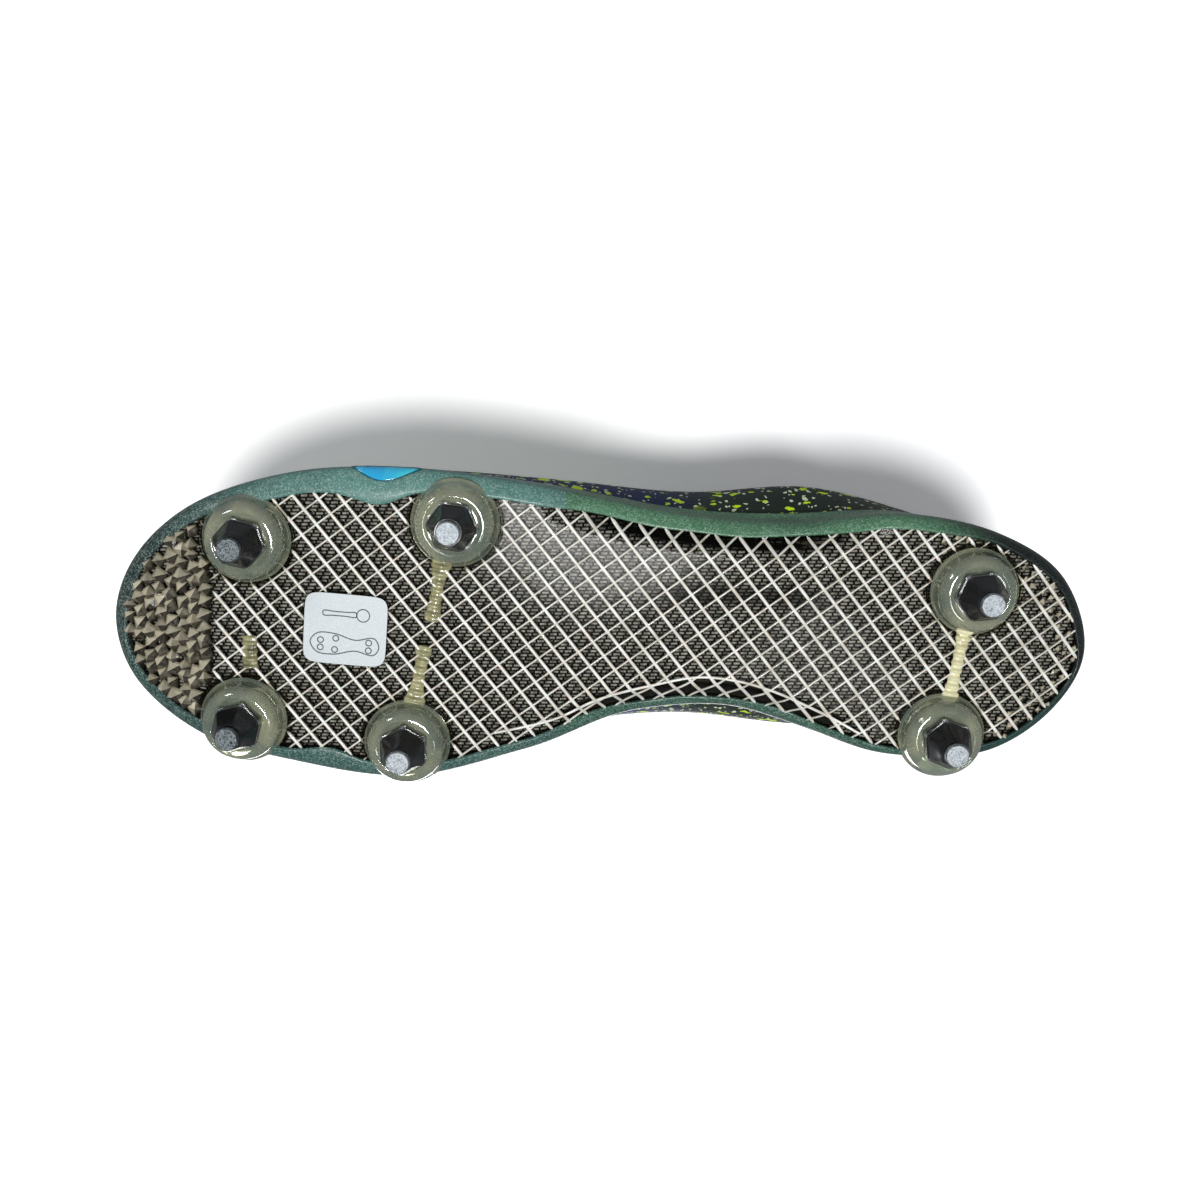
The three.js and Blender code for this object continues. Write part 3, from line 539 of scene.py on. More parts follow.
def off_plate(xy, rise):
    """Points over the plate's underside, each moved along its normal by a rise."""
    x, y = xy[..., 0], xy[..., 1]
    return np.concatenate([xy, plate_z(x, y)[..., None]], -1) + plate_normal(x, y) * rise[..., None]


ARCH = np.array([[-0.5, -0.42, -0.16, 0.16, 0.42, 0.5], [-0.35, 0.55, 1.0, 1.0, 0.55, -0.35]])


def bars(name, lines, width, height, room=rib_room):
    """Low bars along lines of shape (lines, samples, 2). The section is a closed arch, shrunk to a
    point where the room runs out. Cells between two such points, and loose points, are dropped."""
    count, samples = lines.shape[:2]
    size = np.clip(room(lines.reshape(-1, 2)) / (width * 0.8), 0, 1).reshape(count, samples, 1)
    way = np.gradient(lines, axis=1)
    side = left_of(way)
    across, up = ARCH * [[width], [height]]
    xy = lines[:, :, None] + side[:, :, None] * (across[:, None] * size[..., None])
    points = metres(off_plate(xy, up * size)).reshape(-1, 3)
    faces = repeated(cells(samples, 6, tube=True), count, samples * 6)
    faces = faces[(size.reshape(-1)[faces // 6] > 0).any(1)]
    used, renumbered = np.unique(faces, return_inverse=True)
    return put_mesh(name, points[used], renumbered.reshape(faces.shape))


SAMPLE_STEP = 1.1


def family(direction, pitch, start):
    """Parallel straight lines over the sole, a pitch apart, square to their direction."""
    way = unit(np.array(direction))
    offsets = np.arange(-160, 160, pitch) + start
    t = np.arange(-170, 170, SAMPLE_STEP)
    square = np.array([-way[1], way[0]])
    lines = offsets[:, None, None] * square + t[None, :, None] * way
    near = (np.abs(lines) < [144, 48]).all(-1)
    return lines[near.any(1)]


def moulded_material(name, low, high, roughness):
    """Cloudy moulded polyurethane: mottled between two colours, with a glossy skin."""
    material, add = new_material(name)
    noise = {"Vector": add("TexCoord", output=3), "Scale": 220.0, "Detail": 3.0}
    cloud, base = mottled(add, noise, 0.3, 0.7, low, high)
    return finished(material, add, {
        "Base Color": base, "Roughness": roughness, "IOR": 1.5, "Coat Weight": 0.6,
        "Coat Roughness": 0.08, "Subsurface Weight": 0.15, "Subsurface Scale": 0.0008,
    }, (cloud, 0.25, 0.0004))


rib_plastic = moulded_material("cloudy_rib_polyurethane", "#CBC6B8", "#FBF9F2", 0.25)
wide_ribs = bars("wide_ribs", family((0.64, 0.77), pitch=5.2, start=1.2), width=1.05, height=0.45)
dress(wide_ribs, rib_plastic)
fine_plastic = moulded_material("fine_rib_polyurethane", "#BDB8A9", "#F1EEE5", 0.3)
thin_ribs = bars("thin_ribs", family((0.79, -0.62), pitch=5.3, start=0.6), width=0.62, height=0.38)
dress(thin_ribs, fine_plastic)

# %% [markdown]
# A low bead follows the fold where the plate's inner side turns up at the waist, and a clear ring
# runs round each stud's dome. They are the same bars, led along curves.

# %% Bead and rings
FOLD = [
    [30, -31], [21.8, -28.9], [10.6, -25.5], [-0.5, -19.7], [-16.7, -14.3], [-28.9, -11.5],
    [-39.8, -12], [-52, -15], [-66, -21], [-78, -27],
]


def rounded(points, samples):
    """A smooth line through points."""
    return along(np.array(points, float), np.linspace(0, 1, samples))


fold_bead = bars("fold_bead", rounded(FOLD, 160)[None], width=0.8, height=0.4, room=edge_room)
dress(fold_bead, rib_plastic)
angle = np.linspace(0, 2 * np.pi, 73)
RING_RADIUS = 13.5
rings = STUDS[:, None] + RING_RADIUS * circle(angle)[None]
ring_room = lambda xy: edge_room(xy) - 0.2
stud_rings = bars("stud_rings", rings, width=1.1, height=0.4, room=ring_room)
ring_film = film_material("clear_ring_polyurethane", "#E9E8DE", 0.02, 0.1)
dress(stud_rings, ring_film)

# %% [markdown]
# The toe is covered with small crowded pyramids, and lower ones roughen the heel's outer edge. Each
# is a point over a four-cornered base, turned and sized by seeded chance, so no two glint alike.

# %% Pyramids of toe and heel
chance = np.random.default_rng(7)


def pyramids(name, centres, size, height, material):
    """Four-sided pyramids: four base corners at quarter turns, a tip along the plate's normal and
    a point below that closes them."""
    count = len(centres)
    size = size * chance.uniform(0.85, 1.15, count)
    turn = chance.uniform(0, np.pi / 2, count)[:, None] + np.arange(4) * np.pi / 2
    corners = centres[:, None] + 0.66 * size[:, None, None] * circle(turn)
    tips = centres + chance.uniform(-0.5, 0.5, (count, 2))
    xy = np.concatenate([corners, tips[:, None], centres[:, None]], 1)
    rise = np.array([-0.25] * 4 + [1.0, -0.6]) * height * chance.uniform(0.8, 1.2, (count, 1))
    faces = np.array([[k, (k + 1) % 4, top] for top in (4, 5) for k in range(4)])
    made = put_mesh(name, metres(off_plate(xy, rise)), repeated(faces, count, 6))
    return dress(made, material, smooth=False)


def honeycomb(pitch, jitter):
    """Centres in staggered rows over the sole, each moved by chance."""
    rows, columns = np.arange(-145, 146, pitch * 0.866), np.arange(-50, 50, pitch)
    x, y = np.meshgrid(rows, columns, indexing="ij")
    y = y + (np.arange(len(x)) % 2)[:, None] * pitch / 2
    centres = np.stack([x, y], -1).reshape(-1, 2)
    return centres + chance.uniform(-jitter, jitter, centres.shape)


def painted_facet_light_material():
    """Smoky gold plastic with painted light: facets facing the toe and the outer side are painted
    pale, as if lit, the others dark, as if shaded, shifted a little by noise.
    """
    material, add = new_material("smoky_gold_polyurethane_painted_facet_light")
    # painted light and shade: the colour follows which way each facet faces
    painted_light_facing = add("TexCoord", output=1)
    ahead, aside = (add("SeparateXYZ", {0: painted_light_facing}, output=n) for n in (0, 1))
    total = add("Math", {0: ahead, 1: aside}, operation="ADD")
    where = add("TexCoord", output=3)
    cloud = add("TexNoise", {"Vector": where, "Scale": 420.0, "Detail": 2.0})
    shift = add("MapRange", {0: cloud, 3: -0.5, 4: 0.5})
    total = add("Math", {0: total, 1: shift}, operation="ADD")
    share = add("MapRange", {0: total, 1: -0.5, 2: 0.85})
    base = add("Mix", {0: share, 6: "#2E2A23", 7: "#CDC5AC"}, **COLOURS)
    return finished(material, add, {
        "Base Color": base, "Roughness": 0.22, "IOR": 1.5, "Coat Weight": 0.8,
        "Coat Roughness": 0.06,
    })


gold = painted_facet_light_material()
spots = honeycomb(pitch=3.8, jitter=0.5)
at_toe = (past_toe_line(spots) > 0.5) & (edge_room(spots) > 0.9) & (stud_gap(spots) > 14.2)
pyramids("toe_pyramids", spots[at_toe], size=3.9, height=1.9, material=gold)
spots = honeycomb(pitch=3.4, jitter=0.6)
room = edge_room(spots)
at_heel = (spots[:, 0] < -96) & (room > 0.6) & (room < 8) & (stud_gap(spots) > 14.5)
at_heel &= (spots[:, 1] > 3) | (spots[:, 0] < -118)
pyramids("heel_pyramids", spots[at_heel], size=1.7, height=0.5, material=gold)

# %% [markdown]
# Each stud screws into a round dome of clear plastic, moulded with the plate. A profile of radius
# and height is carried round each stud's axis. The dome is hollow where its steel insert sits, so
# the insert glints through it.

# %% Domes
def turned(profile, centre, steps=64):
    """A profile of (radius, height) rows carried round an upright axis."""
    profile = np.array(profile, float)
    a = around(steps)[:, None]
    r, z = profile[:, 0][None], profile[:, 1][None]
    return np.stack([centre[0] + r * np.cos(a), centre[1] + r * np.sin(a), z + 0 * a], -1)


def several(name, sections, tube=True):
    """Closed rings of sections, one for each centre, as one mesh."""
    rows, columns = sections[0].shape[:2]
    faces = repeated(cells(rows, columns, ring=True, tube=tube), len(sections), rows * columns)
    return put_mesh(name, metres(np.array(sections)), faces)


# the seat for the stud is at height 13, and the plate's underside at 19.2
dome_outside = rounded([
    [8.3, 13], [9, 13.1], [10.1, 13.8], [11.1, 15.2], [11.6, 17], [12, 18.3], [DOME_FOOT, 19.5],
], 26)
dome_inside = [
    [12, 19.8], [7.6, 19.8], [7.6, 18.9], [4.5, 18.8], [4.5, 13.3], [6.6, 13.25], [7.6, 13.55],
]
dome_profile = np.concatenate([dome_outside, dome_inside])


def dome_material():
    """Olive, see-through moulded plastic: most light goes in and bends, the rest is milky."""
    material, add = new_material("olive_clear_moulded_polyurethane")
    where = add("TexCoord", output=3)
    noise = {"Vector": where, "Scale": 70.0, "Detail": 1.0, "Distortion": 1.0}
    swirl, base = mottled(add, noise, 0.35, 0.68, "#A3B2A0", "#E4E8C6")
    return finished(material, add, {
        "Base Color": base, "Roughness": 0.07, "IOR": 1.5, "Transmission Weight": 0.7,
        "Coat Weight": 1.0, "Coat Roughness": 0.03,
    }, (swirl, 0.3, 0.001))


stud_domes = several("stud_domes", [turned(dome_profile, c) for c in STUDS])
dress(stud_domes, dome_material())

# %% [markdown]
# Ribbed spines of the same plastic join the domes in pairs. A half-round bar swells towards the
# domes, and waves along it stand for its moulded cross grooves.

# %% Spine bars
SPINES = [
    # start, end, how much wider at the start and the end
    ([46, 21], [48.9, 2], 1.3, 0.7), ([50.8, -5], [54, -24], 0.7, 1.6),
    ([-106, 8], [-103, -17], 1.0, 1.0), ([101.8, -4], [101.7, -14], 0.5, 0.5),
]
GROOVE_PITCH = 2.4
spine_sections = []
for start, end, wide_start, wide_end in SPINES:
    start, end = np.array(start, float), np.array(end, float)
    length = np.linalg.norm(end - start)
    t = np.linspace(0, 1, 90)[:, None]
    a = np.linspace(0, np.pi, 13)[None, :]
    side = np.array([-(end - start)[1], (end - start)[0]]) / length
    ends = (t, wide_start), (1 - t, wide_end)
    near = sum(np.exp(-(s * length / 5) ** 2) * wide for s, wide in ends)
    groove = np.clip(0.5 + 0.9 * np.cos(2 * np.pi * t * length / GROOVE_PITCH), 0, 1)
    close = np.sin(np.pi * np.clip(t * 12, 0, 0.5)) * np.sin(np.pi * np.clip((1 - t) * 12, 0, 0.5))
    half = (1.6 + near * 1.1 + 0.3 * groove) * close
    tall = (0.5 + 1.1 * groove) * close
    xy = start + (end - start) * t[..., None] + side * (half * np.cos(a))[..., None]
    z = plate_z(xy[..., 0], xy[..., 1]) + 0.15 - (tall + 0.15) * np.sin(a)
    spine_sections.append(np.concatenate([xy, z[..., None]], -1))
amber = moulded_material("amber_clear_moulded_polyurethane", "#6B6848", "#BDBA8E", 0.15)
straw = moulded_material("straw_clear_moulded_polyurethane", "#CFCA9C", "#F3F0CB", 0.15)
groups = ("ball_spine_bars", [0, 1, 3], amber), ("heel_spine_bar", [2], straw)
for name, chosen, plastic in groups:
    sections = np.array([spine_sections[k] for k in chosen])
    faces = repeated(cells(90, 13, tube=True), len(chosen), 90 * 13)
    dress(put_mesh(name, metres(sections), faces), plastic)

# %% [markdown]
# The sticker is a rounded square of matt film with a thin printed drawing of its own: a sole's
# outline with six rings, and a stud key. Printed lines are thin raised bands, so they stay sharp.

# %% Sticker and its drawing
def plain_material(name, code, roughness, grain, bump_mm, metallic=0.0, coat=0.0):
    """A plain finish: a little colour change and bump from noise of one grain size, in metres."""
    material, add = new_material(name)
    where = add("TexCoord", output=3)
    noise = add("TexNoise", {"Vector": where, "Scale": 1.0 / grain, "Detail": 3.0})
    shade = add("MapRange", {0: noise, 1: 0.2, 2: 0.8, 3: 0.78, 4: 1.12})
    base = add("Mix", {0: 1.0, 6: code, 7: shade}, **COLOURS, blend_type="MULTIPLY")
    low, high = roughness * 0.85, roughness * 1.15
    rough = add("MapRange", {0: noise, 1: 0.2, 2: 0.8, 3: low, 4: high})
    return finished(material, add, {
        "Base Color": base, "Roughness": rough, "Metallic": metallic, "Coat Weight": coat,
        "Coat Roughness": 0.1,
    }, (noise, 0.6, bump_mm / 1000))


def sticker_points(x, y, rise):
    """Points of the sticker's own plane, turned and moved to its place, a rise below the plate."""
    x, y = STICKER_AT[0] + COS * x - SIN * y, STICKER_AT[1] + SIN * x + COS * y
    return np.stack([x, y, SOLE_Z - rise + 0 * x], -1)


SQUARENESS = 0.28
square = circle(around(96))
square = np.sign(square) * np.abs(square) ** SQUARENESS * (STICKER_SIZE / 2)
shares, heights = np.array([[0, 0.5, 1, 1, 0.5, 0], [0.55, 0.55, 0.5, 0.3, 0.3, 0.3]])
flat = square[:, None] * shares[None, :, None]
sticker = sticker_points(flat[..., 0], flat[..., 1], heights[None])
sticker = put_grid("sole_sticker", sticker, ring=True)
paper = plain_material("matt_printed_film", "#CDD5D8", 0.45, 0.0004, 0.02)
dress(sticker, paper, stands_for=["sole_label"])
sticker.data.set_sharp_from_angle(angle=0.4)


def printed(line, width=0.32):
    """A band along closed or open flat lines of the sticker: two rails, the width apart."""
    way = np.gradient(line, axis=0)
    side = left_of(way) * width / 2
    rails = np.stack([line - side, line + side, line + side, line - side], 1)
    heights = np.array([0.62, 0.62, 0.5, 0.5])
    return sticker_points(rails[..., 0], rails[..., 1], heights[None])


def drawn(points, samples):
    """A closed smooth line through flat points."""
    return closed_line(points)(np.linspace(0, 1, samples))[:, :2]


SOLE_DRAWING = [
    [-10, 0], [-8.5, 2.6], [-3, 1.7], [3, 3.2], [8, 3], [10, 0.4], [8, -2.6], [3, -3], [-3, -1.6],
    [-8.5, -2.4],
]
RING_PLACES = [[7, 1], [7, -1.2], [2.6, 1.8], [2.8, -1.6], [-7, 1.2], [-7, -1.1]]
KEY_BAR = [[-3, 4], [0, 4], [3.5, 4], [6.5, 4], [6.5, 5.2], [3.5, 5.2], [0, 5.2], [-3, 5.2]]
low_half = [0, -4.6]
ring = 0.85 * circle(angle[::3])
lines = [drawn(SOLE_DRAWING, 121) + low_half] + [ring + np.array(c) + low_half for c in RING_PLACES]
lines += [2.2 * ring + np.array([-5.0, 4.6]), drawn(KEY_BAR, 120)]
points, faces, total = [], [], 0
for line in lines:
    band = metres(printed(line)).reshape(-1, 3)
    faces.append(cells(len(line), 4, tube=True) + total)
    points.append(band)
    total += len(band)
drawing = put_mesh("sticker_drawing", np.concatenate(points), np.concatenate(faces))
dress(drawing, plain_material("grey_printing_ink", "#5D6873", 0.6, 0.0003, 0.01))

# %% [markdown]
# The rand is a band of teal moulded plastic that wraps from under the plate's edge up over the foot
# of the upper. Its section is a smooth curve through measured points, and its inner edge waves a
# little. Glitter in it is a pattern of small cells, most of them dull and a few of them bright.

# %% Rand
def rand_outside(u, w):
    """The rand's outer face: w runs from its lip under the plate, 0, to its top edge, 1."""
    u, w = np.broadcast_arrays(np.asarray(u, float), np.asarray(w, float))
    wave = 0.35 * np.sin(2 * np.pi * 11 * u) + 0.25 * np.sin(2 * np.pi * 23 * u)
    lip = rim(u) + 0.9 + wave + lip_swell(u)
    foot = under(u, 0, -RAND_GAP - RAND_WALL * 0.9)
    side_top = under(u, 0.08, -RAND_GAP - RAND_WALL / 2)
    rows = [
        (lip, -0.15), (lip - 0.5, -0.5), (lip * 0.45, 0.35 - 0.13 * lip_swell(u)),
        (0.4, RAND_TURN / 2), (0, RAND_TURN),
    ]
    rows = [sole_point(u, *row) for row in rows] + [(foot + side_top) / 2, side_top]
    return along(np.stack(rows), w)


def rand_inside(u, w):
    """The rand's hidden face, from its top edge, 0, back to its lip, 1."""
    u, w = np.broadcast_arrays(np.asarray(u, float), np.asarray(w, float))
    rows = [
        under(u, 0.08, -RAND_GAP), under(u, 0, -RAND_GAP),
        sole_point(u, EDGE_INSET - 0.3, BOARD_Z - 2.6),
        sole_point(u, rim(u) * 0.5 + 0.9, PLATE + 0.2), sole_point(u, rim(u) + 0.9, 0.3),
    ]
    return along(np.stack(rows), w)


u = places(640)[:-1, None]
rand_faces = [face(u, np.linspace(0, 1, rows)[None])
              for face, rows in ((rand_outside, 26), (rand_inside, 12))]


def rand_material():
    """Teal moulded plastic with glitter: mint along the ball, green behind, dark at both ends."""
    material, add = new_material("teal_glitter_moulded_polyurethane")
    where = add("TexCoord", output=3)
    x, y = (add("SeparateXYZ", {0: where}, output=n) for n in (0, 1))
    cloud = add("TexNoise", {"Vector": where, "Scale": 70.0, "Detail": 3.0})
    parting = add("MapRange", {0: x, 1: 0.011, 2: 0.0125})
    base = add("Mix", {0: parting, 6: "#487657", 7: "#527D76"}, **COLOURS)
    toe = add("MapRange", {0: x, 1: 0.078, 2: 0.135}, **SOFT)
    base = add("Mix", {0: toe, 6: base, 7: "#1F2F2F"}, **COLOURS)
    heel = add("MapRange", {0: x, 1: -0.080, 2: -0.118}, **SOFT)
    base = add("Mix", {0: heel, 6: base, 7: "#0D1615"}, **COLOURS)
    inner = add("MapRange", {0: y, 1: 0.0, 2: -0.02, 4: 0.75})
    base = add("Mix", {0: inner, 6: base, 7: "#1F423E"}, **COLOURS)
    shade = add("MapRange", {0: cloud, 1: 0.3, 2: 0.7, 3: 0.8, 4: 1.15})
    base = add("Mix", {0: 1.0, 6: base, 7: shade}, **COLOURS, blend_type="MULTIPLY")
    fleck = add("TexVoronoi", {"Vector": where, "Scale": 3600.0}, output=1)
    lucky = add("SeparateXYZ", {0: fleck}, output=0)
    bright = add("MapRange", {0: lucky, 1: 0.55, 2: 1.0, 3: 0.0, 4: 0.3})
    dull = add("MapRange", {0: heel, 3: 1.0, 4: 0.15})
    amount = add("Math", {0: bright, 1: dull}, operation="MULTIPLY")
    base = add("Mix", {0: amount, 6: base, 7: "#D9F2E4"}, **COLOURS)
    return finished(material, add, {
        "Base Color": base, "Roughness": 0.36, "IOR": 1.5, "Specular IOR Level": 0.25,
        "Coat Weight": 0.15, "Coat Roughness": 0.1,
    }, (cloud, 0.2, 0.0004))


rand = put_grid("teal_rand", np.concatenate(rand_faces, 1), ring=True, tube=True)
dress(rand, rand_material(), stands_for=["sidewall_rand"])

# %% [markdown]
# A crescent window of blue clear plastic sits in the rand beside the ball of the foot. It is an
# oval of the rand's own face, raised like a lens along the face's normal, with a dark bead round.

# %% Blue window
WINDOW_X = 62.5
window_u = np.linspace(0.2, 0.4, 400)
WINDOW_U = float(window_u[np.abs(rand_line(window_u)[:, 0] - WINDOW_X).argmin()])


def rand_lens(a, reach, rise):
    """Points of an oval on the rand's face, at angles a and a share of its reach, raised along the
    face's normal. The oval's ends bend up a little, so it is a crescent."""
    u = WINDOW_U + 0.0145 * reach * np.cos(a)
    w = 0.475 + 0.105 * reach * np.sin(a) + 0.07 * (reach * np.cos(a)) ** 2
    p = rand_outside(u, w)
    n = unit(np.cross(rand_outside(u, w + 0.01) - p, rand_outside(u + 0.002, w) - p))
    return p + n * np.broadcast_to(rise, u.shape)[..., None]


a = around(96)[:, None]
reach = np.array([[0.0, 0.4, 0.75, 0.93, 1.0, 1.0, 0.5, 0.0]])
rise = np.array([[0.42, 0.4, 0.34, 0.24, 0.1, -0.6, -0.6, -0.6]])
window = put_grid("blue_window", rand_lens(a, reach, rise), ring=True)


def window_material():
    """Blue clear plastic with a painted pearl sheen: the colour turns from turquoise to violet at a
    slant.
    """
    material, add = new_material("blue_pearl_clear_polyurethane")
    where = add("TexCoord", output=3)
    # painted sheen: the base colour follows how squarely the surface faces the view
    slant = add("LayerWeight", {"Blend": 0.4}, output=1)
    cloud = add("TexNoise", {"Vector": where, "Scale": 120.0, "Detail": 2.0, "Distortion": 1.0})
    mixed = add("Math", {0: slant, 1: cloud}, operation="MULTIPLY")
    base = add("Mix", {0: mixed, 6: "#23A8DC", 7: "#5B4FC4"}, **COLOURS)
    share = add("MapRange", {0: cloud, 1: 0.4, 2: 0.7})
    base = add("Mix", {0: share, 6: base, 7: "#3CC9D8"}, **COLOURS)
    return finished(material, add, {
        "Base Color": base, "Roughness": 0.12, "IOR": 1.5, "Coat Weight": 1.0,
        "Coat Roughness": 0.03,
    })


dress(window, window_material(), stands_for=["air_window_lateral"])
b = around(10)[None]
bead_points = rand_lens(a, 1.02 + 0.05 * np.cos(b), 0.15 + 0.3 * np.sin(b))
bead = put_grid("window_bead", bead_points, ring=True, tube=True)
bead_plastic = plain_material("dark_teal_moulded_bead", "#1D5560", 0.3, 0.0005, 0.01, coat=0.5)
dress(bead, bead_plastic)

# %% [markdown]
# A stud is a black nylon cone with a hexagonal foot for the key, moulded round an aluminium core
# whose turned tip is bare. The cone's radius at each angle blends from a circle at the tip to a
# hexagon at the foot, and a nut's chamfer trims the hexagon's corners.

# %% Studs
def hexagon(a, corner):
    """Radius of a hexagon at each angle: the distance of its flats over the cosine of the angle
    from the flat's middle."""
    return corner * np.cos(np.pi / 6) / np.cos(np.mod(a, np.pi / 3) - np.pi / 6)


cone_rows = np.array([
    # height, round radius, hexagon's share, chamfer's limit
    [2.12, 3.3, 0, 9], [2.1, 3.75, 0, 9], [2.35, 4, 0.2, 9], [4, 4.7, 0.6, 9], [6, 5.6, 0.85, 9],
    [8.4, 6.7, 1, 9], [9.2, 7, 1, 6.9], [9.5, 7.15, 1, 6.9], [9.9, 7.5, 1, 7.2],
    [10.4, 7.5, 1, 7.5], [11.9, 7.5, 1, 7.5], [12.35, 7.6, 1, 7.2], [12.7, 7.6, 1, 6.8],
    [12.7, 2.85, 0, 9], [2.12, 2.85, 0, 9],
])
a = around(96)[:, None]
z, r, share, limit = (cone_rows[:, k][None] for k in range(4))
cone_radius = np.minimum(r * (1 - share) + share * hexagon(a, r), limit)
core_profile = np.array([
    [0, 0.12], [1.2, 0.1], [2.7, 0], [3.1, 0.05], [3.4, 0.4], [3.4, 1.7], [3.3, 1.8], [2.5, 1.8],
    [2.5, 12.9],
])
thread_z = np.arange(13.1, 19.3, 0.1)
thread = np.stack([2.38 + 0.12 * np.cos(2 * np.pi * thread_z), thread_z], -1)
core_profile = np.concatenate([core_profile, thread, [[2.2, 19.5], [0, 19.6]]])


def nylon_material():
    """Black glass-filled nylon: near black and satin, with the sharp edges of its hexagonal foot
    painted pale grey as a painted highlight.
    """
    material, add = new_material("black_glass_filled_nylon")
    where = add("TexCoord", output=3)
    grain = add("TexNoise", {"Vector": where, "Scale": 1400.0, "Detail": 2.0})
    edge = add("NewGeometry", output=7)
    # painted highlight: pale grey on the sharp edges of the hexagonal foot only
    painted_edge_highlight = add("MapRange", {0: edge, 1: 0.515, 2: 0.56})
    height = add("SeparateXYZ", {0: where}, output=2)
    foot = add("MapRange", {0: height, 1: 0.0088, 2: 0.0094})
    painted_edge_highlight = add("Math", {0: painted_edge_highlight, 1: foot}, operation="MULTIPLY")
    base = add("Mix", {0: painted_edge_highlight, 6: "#0B0E12", 7: "#A5ABAE"}, **COLOURS)
    rough = add("MapRange", {0: grain, 3: 0.14, 4: 0.3})
    return finished(material, add, {"Base Color": base, "Roughness": rough, "IOR": 1.53},
                    (grain, 0.3, 0.00008))


def aluminium_material(name, low, high):
    """Turned aluminium with a scuffed end: roughness and colour change in short scratches."""
    material, add = new_material(name)
    where = add("TexCoord", output=3)
    noise = {"Vector": where, "Scale": 1100.0, "Detail": 4.0, "Distortion": 2.0}
    scuff, base = mottled(add, noise, 0.35, 0.65, low, high)
    rough = add("MapRange", {0: scuff, 1: 0.3, 2: 0.7, 3: 0.45, 4: 0.7})
    return finished(material, add, {"Base Color": base, "Metallic": 1.0, "Roughness": rough},
                    (scuff, 0.6, 0.0001))


nylon = nylon_material()
bright_tip = aluminium_material("turned_scuffed_aluminium", "#5F666B", "#C3C9CD")
# a darker copy of the same turned aluminium: painted shade for the darker reflection on the two
# front tips
painted_shade_tip = aluminium_material("turned_aluminium_painted_dark_reflection", "#15191C", "#8C9498")
TURNS = [0.2, 0.75, 0.1, 0.5, 0.9, 0.35]
for k, (centre, turn) in enumerate(zip(STUDS, TURNS), 1):
    x, y = (centre[n] + cone_radius * wave(a + turn) for n, wave in enumerate((np.cos, np.sin)))
    made = put_grid(f"stud_cone_shape_{k}", np.stack([x, y, z + 0 * a], -1), ring=True, tube=True)
    dress(made, nylon, f"stud_{k}_body", [f"stud_cone_{k}"])
    made.data.set_sharp_from_angle(angle=0.5)
    made = put_grid(f"stud_core_shape_{k}", turned(core_profile, centre, 40), ring=True)
    # the two front tips take the copy with painted shade
    tip = painted_shade_tip if k < 3 else bright_tip
    dress(made, tip, f"stud_{k}_screw", [f"stud_core_{k}"])
    made.data.set_sharp_from_angle(angle=0.6)

# %% [markdown]
# The upper is knitted polyester with a printed skin: navy, splashed with lime blobs and pale
# specks, and darker green with drawn-out streaks round the heel. It is one layer 1 mm thick, made
# between two depths under the same outer form. The knit's fine cells come from a bump.

# %% Upper
def splash_material():
    """Printed knit: blobs where a cell's centre is near and its lot is low, specks from smaller
    cells, and streaks from cells drawn out along the boot. The knit is drawn at 1.1 mm, twice its
    real size, so that it shows."""
    material, add = new_material("printed_polyester_knit")
    where = add("TexCoord", output=3)
    x = add("SeparateXYZ", {0: where}, output=0)
    wobble = add("TexNoise", {"Vector": where, "Scale": 260.0, "Detail": 3.0}, output=1)
    bent = add("Mix", {0: 0.004, 4: where, 5: wobble}, output=1, data_type="VECTOR")
    stretched = add("Mapping", {"Vector": bent, "Scale": (0.38, 1.0, 1.0)})
    heel = add("MapRange", {0: x, 1: -0.012, 2: -0.036}, **SOFT)
    spots = []
    kinds = (bent, 190.0, 0.42, 0.5), (bent, 520.0, 0.42, 1.0), (stretched, 400.0, 0.4, 0.95)
    for vector, scale, size, lot in kinds:
        gap = add("TexVoronoi", {"Vector": vector, "Scale": scale})
        draw = add("TexVoronoi", {"Vector": vector, "Scale": scale}, output=1)
        number = add("SeparateXYZ", {0: draw}, output=0)
        reach = add("MapRange", {0: number, 1: 0.0, 2: lot, 3: size, 4: 0.0})
        spots.append(add("Math", {0: gap, 1: reach}, operation="LESS_THAN"))
    cloud = add("TexNoise", {"Vector": where, "Scale": 45.0, "Detail": 3.0})
    navy = add("Mix", {0: cloud, 6: "#081638", 7: "#163168"}, **COLOURS)
    green = add("Mix", {0: cloud, 6: "#121C18", 7: "#24362C"}, **COLOURS)
    base = add("Mix", {0: heel, 6: navy, 7: green}, **COLOURS)
    ahead = add("Math", {0: 1.0, 1: heel}, operation="SUBTRACT")
    blobs = add("Math", {0: spots[0], 1: ahead}, operation="MULTIPLY")
    lime = add("Math", {0: blobs, 1: spots[2]}, operation="MAXIMUM")
    base = add("Mix", {0: spots[1], 6: base, 7: "#DCE8C2"}, **COLOURS)
    base = add("Mix", {0: lime, 6: base, 7: "#D2FA1E"}, **COLOURS)
    knit = add("TexVoronoi", {"Vector": where, "Scale": 900.0})
    return finished(material, add, {
        "Base Color": base, "Roughness": 0.5, "Specular IOR Level": 0.3, "Sheen Weight": 0.03,
        "Sheen Roughness": 0.4,
    }, (knit, 0.35, 0.0004), invert=True)


def layer(u, v, outer, inner):
    """The closed section of a layer at each place: up its outside, and down its inside."""
    return folded(under(u, v, outer), under(u, v, inner))


def grid(u, v):
    """Places and levels as two matching grids."""
    return np.meshgrid(u, v, indexing="ij")


section = layer(*grid(places(420)[:-1], np.linspace(0, 1, 64)), 0.0, UPPER)
upper = put_grid("knit_upper", section, ring=True, tube=True)
dress(upper, splash_material(), stands_for=["upper_shell"])

# %% [markdown]
# The lining is brushed cloth over the pads and the heel counter. It swells where they lie behind
# it: smooth windows in place and level give its depth. The two ankle pads are foam cut to a lens,
# and are padded pieces between lining and upper.

